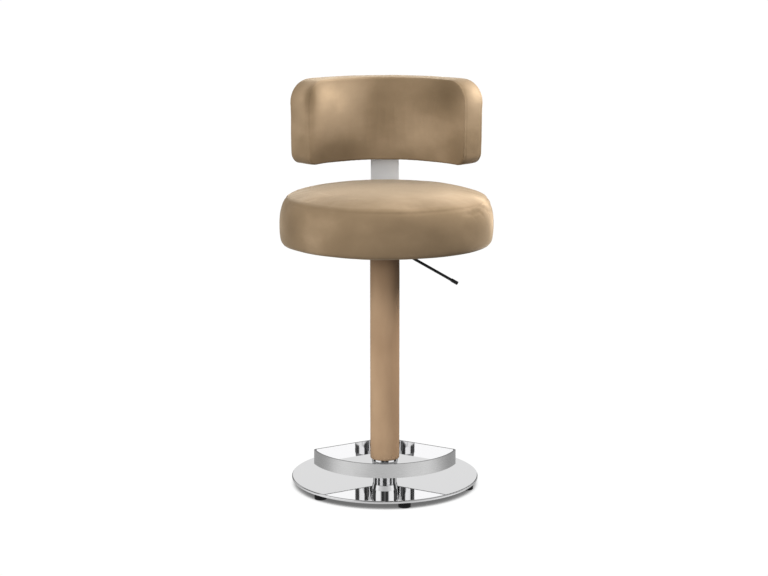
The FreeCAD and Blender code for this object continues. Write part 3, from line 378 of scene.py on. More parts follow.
def make_piece(name, points, faces, material):
    """A smooth-shaded mesh object from points in metres."""
    mesh = bpy.data.meshes.new(name)
    corners = [tuple(map(float, point)) for point in points]
    mesh.from_pydata(corners, [], [tuple(map(int, face)) for face in faces])
    mesh.materials.append(material)
    piece = add_object(name, mesh)
    shaped = bmesh.new()
    shaped.from_mesh(mesh)
    bmesh.ops.remove_doubles(shaped, verts=shaped.verts, dist=1e-6)
    bmesh.ops.recalc_face_normals(shaped, faces=shaped.faces)
    shaped.to_mesh(mesh)
    shaped.free()
    mesh.polygons.foreach_set("use_smooth", [True] * len(mesh.polygons))
    mesh.update()
    return piece


def per_vertex(mesh, key):
    """A row of three numbers for each vertex: its place for "co", or its "normal"."""
    values = np.empty(len(mesh.vertices) * 3)
    mesh.vertices.foreach_get(key, values)
    return values.reshape(-1, 3)


def coordinates(mesh):
    return per_vertex(mesh, "co")


def sunk(mesh, wrinkles):
    """The mesh's points, each moved in along its normal by wrinkles(points)."""
    points = coordinates(mesh)
    return points - per_vertex(mesh, "normal") * wrinkles(points)[:, None]


def set_coordinates(mesh, points):
    mesh.vertices.foreach_set("co", np.asarray(points, float).ravel())
    mesh.update()


def ring_grid(rows, count, closed_ends):
    """Faces over rows of `count` points each, closed round, with fans at the ends if asked.

    With closed ends, the first and the last index are single points before and after the rows.
    """
    first = 1 if closed_ends else 0
    faces = []
    for row in range(rows - 1):
        for k in range(count):
            a = first + row * count + k
            b = first + row * count + (k + 1) % count
            faces.append((a, b, b + count, a + count))
    if closed_ends:
        last = first + rows * count
        for k in range(count):
            faces.append((0, first + (k + 1) % count, first + k))
            end = first + (rows - 1) * count
            faces.append((last, end + k, end + (k + 1) % count))
    return faces


def smooth_line(points, step):
    """Points about `step` apart along a Catmull-Rom curve through the given (a, b) points."""
    points = np.asarray(points, float)
    padded = np.vstack([2 * points[0] - points[1], points, 2 * points[-1] - points[-2]])
    line = []
    for i in range(1, len(padded) - 2):
        p0, p1, p2, p3 = padded[i - 1:i + 3]
        parts = max(1, int(round(np.linalg.norm(p2 - p1) / step)))
        for j in range(parts):
            t = j / parts
            line.append(0.5 * (
                2 * p1 + (p2 - p0) * t + (2 * p0 - 5 * p1 + 4 * p2 - p3) * t * t
                + (3 * p1 - p0 - 3 * p2 + p3) * t ** 3
            ))
    line.append(points[-1])
    return np.array(line)


def soft_noise(place, octaves=3):
    """Smooth noise from about -1 to 1 at one place."""
    return noise.fractal(place, 1.0, 2.0, octaves, noise_basis="PERLIN_NEW")


def field(points, scale, seed, octaves=3):
    """soft_noise at each point, for a feature size of 1 / scale metres."""
    shift = Vector((seed * 7.31, seed * 3.17, seed * 5.93))
    return np.array([soft_noise(Vector(p) * scale + shift, octaves) for p in points])


def groove(distance, width):
    """1 on a line and 0 a few widths away from it."""
    return np.exp(-((distance / width) ** 2))


def paint_nap_light_and_shade(piece, marks, seed, painted_shade=0.0):
    """Writes the piece's attribute of pile patches and painted light and shade: a mark is (its
    middle, its reach in metres, how light it is).

    The painted shade, one number for each point, is added to it.
    """
    points = coordinates(piece.data)
    nap_and_light = 0.35 * field(points, 9.0, seed, 2) + painted_shade
    # Each mark adds a lighter or darker patch: most are painted light and shade, the rest are pile
    # patches
    for middle, reach, light in marks:
        nap_and_light += light * np.exp(-(((points - np.array(middle)) / reach) ** 2).sum(1))
    attribute = piece.data.attributes.new("nap_and_light", "FLOAT", "POINT")
    attribute.data.foreach_set("value", np.clip(nap_and_light, *NAP_AND_LIGHT_LIMITS).astype(np.float32))


def swell(piece, held, cap):
    """Inflates a cloth copy of the piece, then moves the piece's points as the copy's moved.

    held(points) is true where seams or a board hold the fabric. The whole swelling is scaled down
    until no point moves by more than cap.
    """
    copy = piece.copy()
    copy.data = piece.data.copy()
    scene.collection.objects.link(copy)
    bpy.ops.object.select_all(action="DESELECT")
    bpy.context.view_layer.objects.active = copy
    copy.select_set(True)
    remesh = copy.modifiers.new("remesh", "REMESH")
    remesh.mode = "VOXEL"
    remesh.voxel_size = VOXEL
    bpy.ops.object.modifier_apply(modifier=remesh.name)
    start = coordinates(copy.data)
    pins = copy.vertex_groups.new(name="held")
    pins.add([int(i) for i in np.nonzero(held(start))[0]], 1.0, "REPLACE")
    cloth = copy.modifiers.new("cloth", "CLOTH")
    for key, value in CLOTH_SETTINGS.items():
        setattr(cloth.settings, key, value)
    cloth.settings.vertex_group_mass = pins.name
    cloth.settings.effector_weights.gravity = 0.0
    cloth.collision_settings.use_collision = False
    cloth.point_cache.frame_start = 1
    cloth.point_cache.frame_end = CLOTH_FRAMES
    for number in range(1, CLOTH_FRAMES + 1):
        scene.frame_set(number)
    graph = bpy.context.evaluated_depsgraph_get()
    end = coordinates(copy.evaluated_get(graph).data)
    moved = end - start
    furthest = np.linalg.norm(moved, axis=1).max()
    moved *= min(1.0, cap / furthest)
    scene.frame_set(1)
    bpy.data.objects.remove(copy, do_unlink=True)
    follow(piece.data, start, moved)


def follow(mesh, start, moved):
    """Moves each point of the mesh by a weighted mean of what the nearest start points moved."""
    tree = kdtree.KDTree(len(start))
    for index, point in enumerate(start):
        tree.insert(point, index)
    tree.balance()
    points = coordinates(mesh)
    for index, point in enumerate(points):
        near = tree.find_n(point, FOLLOWED)
        weights = np.array([1.0 / (d * d + FOLLOW_REACH ** 2) for _, _, d in near])
        shifts = moved[[i for _, i, _ in near]]
        points[index] = point + (shifts * weights[:, None]).sum(0) / weights.sum()
    set_coordinates(mesh, points)


def finish_piece(piece, body, slot, *nodes):
    """Gives the piece its body and hides the CAD nodes it stands for; the slot argument is not
    used.
    """
    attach(piece, body)
    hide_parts(*nodes)


# ---------------------------------------------------------------- seat cushion

SEAT_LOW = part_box("seat_cover")[0]
SEAT_COUNT = 480
SEAT_STEP = 3.2
SEAT_SWELL = 2.0 * MM
SEAM_Z = SEAT_LOW.z + 91.0 * MM
SEAM_R = 213.0 * MM
SEAM_DEPTH = 1.4
SEAM_WIDTH = 1.9
# The crown: the radius where it starts, its height there and its height in the middle
SEAT_CROWN = (203.0, 99.2, 114.6)
# Radius at which an azimuth is turned into a length along the rim
FOLD_RADIUS = 215.0
# The board under the cushion holds the fabric within this radius
BOARD_RADIUS = 212.0 * MM
# (radius, height above the underside), in millimetres, from the underside up to the seam
SEAT_PROFILE = [
    (60, 0.3), (120, 0.3), (180, 0.3), (203.6, 0.2), (206.5, -0.7), (211, -1.5), (215, -1.6),
    (218.6, -0.2), (221.2, 3.2), (222.9, 8.2), (224.0, 15), (224.8, 24), (225.0, 35),
    (224.8, 48), (223.6, 60), (221.2, 71.5), (218.2, 81), (214.9, 87.6), (213.4, 90.2),
    (212.2, 92.2), (208.6, 95.8),
]
# Pulled folds: (azimuth and height of each end, width, depth), degrees and millimetres.
# Azimuth 0 is +X and -90 is the front.
SEAT_FOLDS = [
    (-50, 85, -14, 88, 3.6, 1.4),
    (-44, 81, -20, 80, 5.0, 1.5),
    (-36, 84, -26, 70, 6.0, 1.3),
    (-26, 85, -8, 66, 7.0, 1.6),
    (-12, 84, 2, 74, 6.0, 1.3),
    (-47, 87, -37, 84, 3.6, 0.9),
    (-37, 87, -27, 82, 3.6, 1.0),
    (-29, 80, -19, 84, 3.6, 0.9),
    (-41, 78, -34, 70, 4.0, 0.7),
    (-21, 78, -16, 62, 4.0, 0.8),
    (-167, 86, -152, 74, 7.0, 0.7),
    (-178, 84, -170, 66, 8.0, 0.7),
    (40, 86, 62, 66, 9.0, 0.9),
    (118, 84, 135, 70, 9.0, 0.9),
    (160, 86, 172, 64, 8.0, 0.8),
    (84, 84, 92, 70, 7.0, 0.6),
]
# Painted light and shade on the cushion, with a few pile patches: painted highlights on the side's
# edges and along the top's front right, and painted shade low on the side and across the top:
# (azimuth, radius and height of the middle, reach, how light)
SEAT_LIGHT_AND_NAP_MARKS = [
    (-60, 222, 45, 62, -0.50), (-38, 222, 60, 40, -0.30), (-147, 222, 50, 34, -0.45),
    (-128, 222, 55, 42, 0.10), (-105, 222, 45, 40, 0.10), (-88, 222, 70, 40, -0.32),
    (-25, 222, 30, 30, -0.2), (-11, 224, 45, 28, 1.10), (-169, 224, 45, 24, 0.75),
    (-160, 205, 96, 40, -0.40), (-130, 130, 112, 80, -0.25), (90, 70, 114, 90, -0.60),
    (30, 150, 112, 70, -0.35), (-75, 190, 105, 55, 0.45), (-40, 188, 105, 50, 0.60),
    (-16, 212, 98, 28, 0.90), (-90, 220, 4, 40, -0.35),
    (70, 222, 50, 50, -0.3), (110, 222, 60, 50, 0.3), (160, 222, 40, 60, -0.25),
    (60, 120, 112, 60, -0.15), (150, 120, 112, 70, -0.15),
]
# Both soft pieces sit this far to the right of the column's axis
PAD_SHIFT = 3.3 * MM


def seat_crown():
    """The profile's last part, from the seam's shoulder to the middle of the crown."""
    shoulder, edge_height, top_height = SEAT_CROWN
    fall = top_height - edge_height
    line = []
    for radius in np.arange(shoulder, 8.0, -6.5):
        share = radius / shoulder
        line.append((radius, top_height - fall * (0.55 * share ** 6 + 0.45 * share ** 2.4)))
    return line


def seat_radius(points):
    return np.hypot(points[:, 0], points[:, 1])


def seat_held(points):
    """The board under the cushion and the seam round its top edge."""
    radius = seat_radius(points)
    under = (points[:, 2] < SEAT_LOW.z + 4 * MM) & (radius < BOARD_RADIUS)
    seam = np.hypot(radius - SEAM_R, points[:, 2] - SEAM_Z) < 3.6 * MM
    return under | seam


def seat_wrinkles(points):
    """How far each point sinks for the seam, its puckers and the pulled folds, in metres."""
    radius = seat_radius(points)
    azimuth = np.degrees(np.arctan2(points[:, 1], points[:, 0]))
    height = (points[:, 2] - SEAT_LOW.z) / MM
    side = radius > 150 * MM
    from_seam = np.hypot(radius - SEAM_R, points[:, 2] - SEAM_Z) / MM
    sink = SEAM_DEPTH * groove(from_seam, SEAM_WIDTH)
    loose = np.clip(0.45 + 0.9 * field(points, 9.0, 1.0), 0.0, 1.0)
    puckers = np.sin(np.radians(azimuth) * 120 + 5.0 * field(points, 14.0, 2.0))
    below = np.where(height < 90.0, 1.0, 0.3)
    sink += 0.16 * loose * below * (1 + puckers) * groove(from_seam - 2.0, 3.5)
    for az0, h0, az1, h1, width, depth in SEAT_FOLDS:
        along = FOLD_RADIUS * math.radians(az1 - az0)
        rise = h1 - h0
        span = math.hypot(along, rise)
        dx = FOLD_RADIUS * np.radians((azimuth - az0 + 180) % 360 - 180)
        dy = height - h0
        t = (dx * along + dy * rise) / span ** 2
        off = (dx * -rise + dy * along) / span + 3.0 * np.sin(t * 5.0 + az0)
        inside = np.clip(t, 0, 1)
        ends = groove((t - inside) * span, width * 1.2)
        body = 0.35 + 0.65 * np.sin(np.pi * np.clip(t * 0.9 + 0.05, 0, 1))
        sink += side * depth * ends * body * (
            groove(off, width * 0.5) - 0.55 * groove(off - width * 0.9, width * 0.6)
        )
    sink += 0.8 * field(points, 11.0, 3.0) * side + 0.5 * field(points, 6.0, 4.0)
    under = (height < 2.5) & (radius < 208 * MM)
    return np.where(under, 0.0, sink) * MM


def make_seat():
    """The round cushion: a turned profile, swollen, then wrinkled, with pile patches and painted
    light and shade.
    """
    line = smooth_line(SEAT_PROFILE + seat_crown(), SEAT_STEP)
    angles = np.arange(SEAT_COUNT) / SEAT_COUNT * 2 * math.pi
    points = [(0, 0, SEAT_LOW.z + 0.3 * MM)]
    for radius, height in line:
        z = SEAT_LOW.z + height * MM
        points += [(radius * MM * math.cos(a), radius * MM * math.sin(a), z) for a in angles]
    points.append((0, 0, points[-1][2] + 0.1 * MM))
    faces = ring_grid(len(line), SEAT_COUNT, True)
    piece = make_piece("seat_cushion", points, faces, SEAT_SUEDE)
    swell(piece, seat_held, SEAT_SWELL)
    points = sunk(piece.data, seat_wrinkles)
    set_coordinates(piece.data, points)
    # Painted light and shade, with a few pile patches, placed round the cushion
    marks = []
    for azimuth, radius, height, reach, light in SEAT_LIGHT_AND_NAP_MARKS:
        turn = math.radians(azimuth)
        x, y = radius * MM * math.cos(turn), radius * MM * math.sin(turn)
        marks.append(((x, y, SEAT_LOW.z + height * MM), reach * MM, light))
    paint_nap_light_and_shade(piece, marks, seed=11.0)
    set_coordinates(piece.data, points + np.array((PAD_SHIFT, 0, 0)))
    finish_piece(piece, "seat", "seat_fabric", "seat_cover", "seat_foam")


make_seat()

# ---------------------------------------------------------------- backrest

# The pad is an arc in plan. Lengths are in millimetres, and arc lengths are along its middle.
BACK_LOW, BACK_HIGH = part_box("back_cover")
BACK_OUTER = 282.0
BACK_THICK = 60.0
BACK_MIDDLE = BACK_OUTER - BACK_THICK / 2
BACK_HALF = math.radians(48.0) * BACK_MIDDLE
BACK_CENTRE_Y = BACK_HIGH.y / MM - BACK_OUTER
BACK_Z0 = BACK_LOW.z / MM
BACK_Z1 = BACK_HIGH.z / MM
BACK_MID_Z = (BACK_Z0 + BACK_Z1) / 2
BACK_HALF_Z = (BACK_Z1 - BACK_Z0) / 2
SPINE_HALF = BACK_HALF - BACK_HALF_Z
TOP_CORNER = 50.0
BOTTOM_CORNER = 25.0
BACK_EDGE = 6.0
FRONT_SEAM = 8.0
REAR_SEAM = BACK_THICK - 8.0
# The depth of the front panel's outline, and how far its middle bulges forward of that
FRONT_EDGE = 1.5
BACK_CROWN = 5.0
# Rings of each panel, as shares of the way from its middle line to its outline
PANEL_SHARES = (
    0.02, 0.08, 0.16, 0.25, 0.34, 0.43, 0.52, 0.60, 0.67, 0.74, 0.80, 0.85, 0.89, 0.925, 0.955,
    0.98,
)
BACK_STEP = 2.6
BACK_SWELL = 2.5 * MM
# How far the ends droop and the lower edge's middle rises, and the taper down the pad's height
BACK_DROOP = 4.2
BACK_ARCH = 2.0
BACK_TAPER = 0.011
# Within this half width, the pad's rear stays this far in front of the bar's rear face
BAR_HALF = 44 * MM
BAR_ROOM = 6.3 * MM
# Pile patches and painted light and shade on the pad: a painted highlight at the boxing's top
# right, a painted dark streak down the front's left edge and painted shade across the middle:
# (degrees round the pad, height above its middle, depth from its front, reach, how light)
BACK_LIGHT_AND_NAP_MARKS = [
    (-36, 62, 0, 42, 1.30), (-26, 45, 0, 40, 0.60), (-16, 66, 0, 36, 0.50),
    (-25, 0, 0, 44, 0.55), (-46.5, 70, 0, 16, -1.0), (-46.5, 50, 0, 15, -0.9),
    (-46.5, 28, 0, 15, -0.6), (-46, 0, 0, 16, -0.45), (-22, -72, 0, 46, -0.30),
    (-2, -5, 0, 36, -0.25), (25, -40, 0, 62, 0.70), (31, 60, 0, 50, -0.45),
    (40, 66, 0, 34, -0.70), (9, 60, 0, 40, -0.12), (-42, -25, 0, 30, 0.25),
    (48, 66, 44, 32, 1.50), (48, 20, 30, 34, 0.35),
    (-48, 66, 30, 30, 0.35), (47, -70, 20, 40, -0.20), (44, -75, 0, 34, -0.30),
]


def back_outline(step):
    """The pad's outline seen from the front, unrolled: (arc length, height), anticlockwise."""
    corners = [
        (BACK_HALF, BACK_Z0, BOTTOM_CORNER, -90),
        (BACK_HALF, BACK_Z1, TOP_CORNER, 0),
        (-BACK_HALF, BACK_Z1, TOP_CORNER, 90),
        (-BACK_HALF, BACK_Z0, BOTTOM_CORNER, 180),
    ]
    outline = []
    for x, z, radius, start in corners:
        cx = x - math.copysign(radius, x)
        cz = z + (radius if z == BACK_Z0 else -radius)
        parts = max(6, int(radius * math.pi / 2 / step))
        for k in range(parts + 1):
            a = math.radians(start + 90.0 * k / parts)
            outline.append((cx + radius * math.cos(a), cz + radius * math.sin(a)))
    filled = []
    for (x0, z0), (x1, z1) in zip(outline, outline[1:] + outline[:1]):
        parts = max(1, int(round(math.hypot(x1 - x0, z1 - z0) / step)))
        for k in range(parts):
            filled.append((x0 + (x1 - x0) * k / parts, z0 + (z1 - z0) * k / parts))
    return np.array(filled)


def bend(arc, height, depth):
    """Unrolled pad coordinates, in millimetres, to the frame in metres."""
    angle = arc / BACK_MIDDLE
    radius = BACK_OUTER - BACK_THICK + depth
    return np.stack([
        radius * np.sin(angle), BACK_CENTRE_Y + radius * np.cos(angle), height,
    ], axis=-1) * MM


def unbend(points):
    """The inverse of bend: (arc length, height, depth), in millimetres."""
    x = points[:, 0] / MM
    y = points[:, 1] / MM - BACK_CENTRE_Y
    angle = np.arctan2(x, y)
    return angle * BACK_MIDDLE, points[:, 2] / MM, np.hypot(x, y) - BACK_OUTER + BACK_THICK


def rounded_distance(arc, height):
    """Distance inside the pad's outline, in millimetres: 0 on it and positive within."""
    corner = np.where(height > BACK_MID_Z, TOP_CORNER, BOTTOM_CORNER)
    qx = np.abs(arc) - (BACK_HALF - corner)
    qz = np.abs(height - BACK_MID_Z) - (BACK_HALF_Z - corner)
    outside = np.hypot(np.maximum(qx, 0), np.maximum(qz, 0))
    return corner - outside - np.minimum(np.maximum(qx, qz), 0)


def back_rows():
    """Each ring from the front panel's middle to the rear one's: (share, inset, depth).

    The share is of the way from the middle line to the outline. The inset is from the outline,
    and None on the panels.
    """
    edge = []
    for angle in np.linspace(0, math.pi / 2, 8):
        edge.append((BACK_EDGE * (1 - math.sin(angle)), BACK_EDGE * (1 - math.cos(angle))))
    rows = []
    for share in PANEL_SHARES:
        rows.append((share, None, FRONT_EDGE - BACK_CROWN * (1 - share ** 2.5)))
    for inset, back in edge:
        rows.append((1.0, inset, FRONT_EDGE + back))
    for depth in np.arange(BACK_EDGE + 3.0, BACK_THICK - BACK_EDGE - 1.0, 2.2):
        rows.append((1.0, 0.0, depth))
    for inset, back in reversed(edge):
        rows.append((1.0, inset, BACK_THICK - back))
    for share in reversed(PANEL_SHARES):
        rows.append((share, None, BACK_THICK))
    return rows


def spine(outline):
    """The point of the pad's middle line nearest to each point of the outline."""
    arc = np.clip(outline[:, 0], -SPINE_HALF, SPINE_HALF)
    return np.stack([arc, np.full(len(outline), BACK_MID_Z)], axis=1)


def back_points(outline):
    """Every ring's points, then the middle lines that close the front and the rear panel."""
    middle = spine(outline)
    toward = outline - middle
    length = np.linalg.norm(toward, axis=1, keepdims=True)
    layers = []
    for share, inset, depth in back_rows():
        scale = share * (1 - BACK_EDGE / length) if inset is None else 1 - inset / length
        layers.append((middle + toward * scale, depth))
    layers += [(middle, FRONT_EDGE - BACK_CROWN), (middle, BACK_THICK)]
    return np.concatenate([
        bend(ring[:, 0], ring[:, 1], np.full(len(ring), depth)) for ring, depth in layers
    ])


def back_held(points):
    """The two seams round the pad, and where the bar clamps it."""
    arc, height, depth = unbend(points)
    inside = rounded_distance(arc, height)
    near_front = np.abs(depth - 5.0) < 5.0
    near_rear = np.abs(depth - BACK_THICK + 4.0) < 5.0
    seams = (inside < 5.0) & (near_front | near_rear)
    bar = (np.abs(arc) < 45) & (depth > BACK_THICK - 4)
    return seams | bar


def back_wrinkles(points):
    """How far each point sinks for the seams, their puckers and soft dents, in metres."""
    arc, height, depth = unbend(points)
    inside = rounded_distance(arc, height)
    front = np.hypot(inside, depth - FRONT_SEAM)
    rear = np.hypot(inside, depth - REAR_SEAM)
    loose = np.clip(0.4 + 0.9 * field(points, 10.0, 5.0), 0.0, 1.0)
    sink = 0.85 * groove(front, 1.7) + 1.0 * groove(rear, 1.7)
    run = (arc + height) * 0.42 + 4.0 * field(points, 18.0, 6.0)
    near = groove(front - 3.0, 4.5) + groove(rear - 3.0, 4.5)
    sink += 0.18 * loose * (1 + np.sin(run)) * near
    ends = np.clip((np.abs(arc) - BACK_HALF * 0.72) / (BACK_HALF * 0.28), 0, 1)
    sink += 0.9 * field(points, 12.0, 7.0) + 0.45 * ends * field(points, 30.0, 8.0)
    bar = (np.abs(arc) < 60) & (depth > BACK_THICK - 6)
    return np.where(bar, 0.0, sink) * MM


def make_back():
    """The curved pad: two panels and a boxing strip, swollen, wrinkled, given pile patches with
    painted light and shade, and sagged.
    """
    outline = back_outline(BACK_STEP)
    count = len(outline)
    rows = len(back_rows())
    points = back_points(outline)
    faces = ring_grid(rows, count, False)
    start = rows * count
    last = start - count
    for k in range(count):
        n = (k + 1) % count
        faces.append((k, start + k, start + n, n))
        faces.append((last + k, last + n, start + count + n, start + count + k))
    piece = make_piece("backrest_pad", points, faces, SEAT_SUEDE)
    swell(piece, back_held, BACK_SWELL)
    points = sunk(piece.data, back_wrinkles)
    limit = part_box("back_bar")[1].y - BAR_ROOM
    near_bar = np.abs(points[:, 0]) < BAR_HALF
    points[:, 1] = np.where(near_bar, np.minimum(points[:, 1], limit), points[:, 1])
    set_coordinates(piece.data, points)
    marks = []
    for degrees, rise, depth, reach, light in BACK_LIGHT_AND_NAP_MARKS:
        place = bend(math.radians(degrees) * BACK_MIDDLE, BACK_MID_Z + rise, depth)
        marks.append((place, reach * MM, light))
    paint_nap_light_and_shade(piece, marks, seed=17.0)
    arc, height, _ = unbend(points)
    ends = np.minimum(1.0, (arc / BACK_HALF) ** 2)
    low = 1.0 - (height - BACK_Z0) / (BACK_Z1 - BACK_Z0)
    points[:, 2] += (BACK_ARCH * low * (1 - ends) - BACK_DROOP * ends) * MM
    points[:, 0] *= 1.0 - BACK_TAPER * low
    points[:, 0] += PAD_SHIFT
    set_coordinates(piece.data, points)
    finish_piece(piece, "seat", "seat_fabric", "back_cover", "back_foam")


make_back()

# ---------------------------------------------------------------- column wrap

WRAP_LOW, WRAP_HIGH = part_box("column_wrap")
WRAP_OUTER = WRAP_HIGH.x
WRAP_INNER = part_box("outer_tube")[1].x + 0.3 * MM
SADDLE_LOW, SADDLE_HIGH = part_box("footrest_saddle")
SADDLE_GAP = 0.6 * MM
SLEEVE_COUNT = 168
# The hems: (distance from that end, how far the fabric is pulled in), in millimetres
LOWER_HEM = [(0, 1.7), (0.5, 0.8), (1.4, 0.3), (3, 0)]
UPPER_HEM = [(3, 0), (0.4, 0.8), (0, 1.7)]
GATHER_REACH = 9 * MM
# Painted shade on the sleeve: darker toward the right, and a painted shadow this far down from the
# seat
PAINTED_SHADOW_REACH = 26 * MM


def make_wrap():
    """A suede sleeve round the tube, sewn up the back, with a window for the footrest's saddle."""
    count = SLEEVE_COUNT
    low, high = WRAP_LOW.z, WRAP_HIGH.z
    heights = np.concatenate([
        low + np.array([0.0, 0.5, 1.4, 3.0, 5.5, 8.5, 12.0]) * MM,
        np.linspace(low + 16 * MM, high - 12 * MM, 120),
        high - np.array([8.0, 4.0, 1.5, 0.4, 0.0]) * MM,
    ])
    hems = [(low + up * MM, pulled * MM) for up, pulled in LOWER_HEM]
    hems += [(high - down * MM, pulled * MM) for down, pulled in UPPER_HEM]
    tuck = np.interp(heights, *zip(*hems))
    outer, inner = [], []
    for z, pulled in zip(heights, tuck):
        for k in range(count):
            angle = math.pi / 2 + 2 * math.pi * k / count
            direction = Vector((math.cos(angle), math.sin(angle), 0.0))
            seam = min(k, count - k) * 2 * math.pi / count * WRAP_OUTER / MM
            place = direction * WRAP_OUTER + Vector((0, 0, z))
            soft = soft_noise(place * 26.0)
            gather = math.exp((low - z) / GATHER_REACH) + 0.8 * math.exp((z - high) / GATHER_REACH)
            pucker = math.sin(angle * 22 + 3.0 * soft)
            sink = 0.28 * soft + 0.3 * gather * (1 + pucker) + 0.9 * groove(seam, 1.4)
            radius = WRAP_OUTER - pulled - max(0.0, sink) * MM
            outer.append(direction * radius + Vector((0, 0, z)))
            inner.append(direction * WRAP_INNER + Vector((0, 0, z)))
    rows = len(heights)
    half_window = SADDLE_HIGH.x + SADDLE_GAP
    faces = []
    shift = rows * count

    def open_at(row, k):
        """Whether the cell is in the window behind, where the saddle meets the tube."""
        a = math.pi / 2 + 2 * math.pi * (k + 0.5) / count
        z = (heights[row] + heights[row + 1]) / 2
        behind = math.sin(a) > 0 and abs(math.cos(a)) * WRAP_OUTER < half_window
        return behind and SADDLE_LOW.z - SADDLE_GAP < z < SADDLE_HIGH.z + SADDLE_GAP

    gone = {(r, k) for r in range(rows - 1) for k in range(count) if open_at(r, k)}
    for r in range(rows - 1):
        for k in range(count):
            if (r, k) in gone:
                continue
            a, b = r * count + k, r * count + (k + 1) % count
            faces.append((a, b, b + count, a + count))
            faces.append((a + shift, a + count + shift, b + count + shift, b + shift))
            sides = (
                ((r, (k + 1) % count), b, b + count), ((r, (k - 1) % count), a + count, a),
                ((r + 1, k), b + count, a + count), ((r - 1, k), a, b),
            )
            for cell, p, q in sides:
                if cell in gone or cell[0] < 0 or cell[0] >= rows - 1:
                    faces.append((q, p, p + shift, q + shift))
    piece = make_piece("column_sleeve", outer + inner, faces, WRAP_SUEDE)
    places = coordinates(piece.data)
    right = np.clip(places[:, 0] / WRAP_OUTER, 0, 1)
    # Painted shade: darker toward the right, and a painted shadow of the seat at the sleeve's top
    painted_shade = 0.35 - 1.15 * right ** 2 - 1.5 * np.exp((places[:, 2] - high) / PAINTED_SHADOW_REACH)
    paint_nap_light_and_shade(piece, [], seed=23.0, painted_shade=painted_shade)
    # Chrome under the sleeve is what the polished ring and plate show
    piece.visible_glossy = False
    finish_piece(piece, "seat", "wrap_fabric", "column_wrap")


make_wrap()

# ---------------------------------------------------------------- dust cover

DUST_LOW, DUST_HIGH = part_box("dust_cover")
DUST_COUNT = 240
STAPLES = 24
# Rings of the disc, as shares of its radius: the hem starts at HEM_SHARE
DUST_SHARES = (0.25, 0.45, 0.6, 0.72, 0.82, 0.90, 0.935, 0.94, 0.955, 0.98, 0.996, 1.0)
HEM_SHARE = 0.937
HEM_THICK = 0.25 * MM
# How far the cloth's edge draws in, and how deep it dimples, between staples
STAPLE_PULL = 0.8 * MM
STAPLE_DIMPLE = 0.12 * MM


def make_dust_cover():
    """Black non-woven cloth, stapled to the board's underside through a folded hem."""
    count = DUST_COUNT
    radius = DUST_HIGH.x
    top = DUST_HIGH.z - 0.02 * MM
    middle = (DUST_LOW.z + DUST_HIGH.z) / 2
    upper, lower = [], []
    for share in DUST_SHARES:
        for k in range(count):
            angle = 2 * math.pi * k / count
            pull = math.cos(angle * STAPLES)
            edge = radius * share - (STAPLE_PULL * (1 - pull) if share > 0.93 else 0.0)
            hem = HEM_THICK if share > HEM_SHARE else 0.0
            fold = STAPLE_DIMPLE * pull * max(0.0, share - 0.5)
            x, y = edge * math.cos(angle), edge * math.sin(angle)
            upper.append((x, y, top))
            lower.append((x, y, middle + 0.1 * MM - hem - fold))
    rows = len(DUST_SHARES)
    shift = rows * count + 1
    points = [(0, 0, top)] + upper + [(0, 0, middle)] + lower
    faces = []
    for base in (0, shift):
        for k in range(count):
            faces.append((base, base + 1 + k, base + 1 + (k + 1) % count))
        for row in range(rows - 1):
            for k in range(count):
                a = base + 1 + row * count + k
                b = base + 1 + row * count + (k + 1) % count
                faces.append((a, b, b + count, a + count))
    rim = 1 + (rows - 1) * count
    for k in range(count):
        a, b = rim + k, rim + (k + 1) % count
        faces.append((a, b, b + shift, a + shift))
    piece = make_piece("dust_cloth_disc", points, faces, DUST_CLOTH)
    finish_piece(piece, "seat", "dust_cloth", "dust_cover")


make_dust_cover()

# ---------------------------------------------------------------- studio

WHITE = (1.0, 1.0, 1.0, 1.0)
WARM_WHITE = (1.0, 0.99, 0.98, 1.0)
# Strengths: the background and the floor as the camera sees them, and the light that they give
BACKDROP_SEEN = 1.05
FLOOR_SEEN = 1.02
WORLD_FILL = 0.45
FLOOR_BOUNCE = 0.34
FLOOR_HALF = 90.0
CONTACT_REACH = 0.035
# What chrome sees of the room and of the floor: (degrees round from the front, grey). Both sides
# are the same.
ROOM_GREYS = [
    (0, 0.14), (7, 0.14), (11, 0.04), (28, 0.05), (42, 1.35), (84, 1.4), (91, 0.05), (116, 0.04),
    (126, 0.7), (144, 0.75), (152, 0.03), (168, 0.03), (172, 0.97), (180, 0.97),
]
FLOOR_GREYS = [
    (0, 0.76), (20, 0.80), (34, 0.95), (53, 1.0), (66, 0.85), (78, 0.60), (92, 0.45),
    (122, 0.47), (131, 1.0), (180, 0.9),
]
# The room's ceiling in chrome: the height of the ray where it starts and is full, and its grey
CEILING_HEIGHT = [(0.36, 0.0), (0.50, 1.0)]
CEILING_GREY = (0.45, 0.45, 0.45)
# The floor's shade by how open the air above it is: (share, grey)
CONTACT_SHADE = [(0.0, 0.12), (0.20, 0.17), (0.36, 0.42), (0.50, 0.80), (0.66, 1.0)]
LIGHTS_LOOK_AT = Vector((0, 0, 0.6))
# Softboxes: ((azimuth from the front, elevation, distance), size, power)
SOFTBOXES = {
    "key_left": ((-40, 35, 3.2), 1.6, 48),
    "low_left": ((-38, 8, 3.4), 1.4, 55),
    "side_right": ((75, 35, 3.2), 1.4, 42),
    "rim_right": ((108, 32, 3.2), 1.2, 145),
    "back_right": ((150, 35, 3.0), 1.2, 10),
}


def azimuth_pattern(tree, vector, stops):
    """A grey by the direction round the column, from (degrees from the front, grey) stops."""
    split = tree.add("ShaderNodeSeparateXYZ", {0: vector})
    turn = tree.math("ARCTAN2", split.outputs[0], tree.math("MULTIPLY", split.outputs[1], -1.0))
    share = tree.math("DIVIDE", tree.math("ABSOLUTE", turn), math.pi)
    return tree.ramp(share, [(degrees / 180.0, value) for degrees, value in stops])


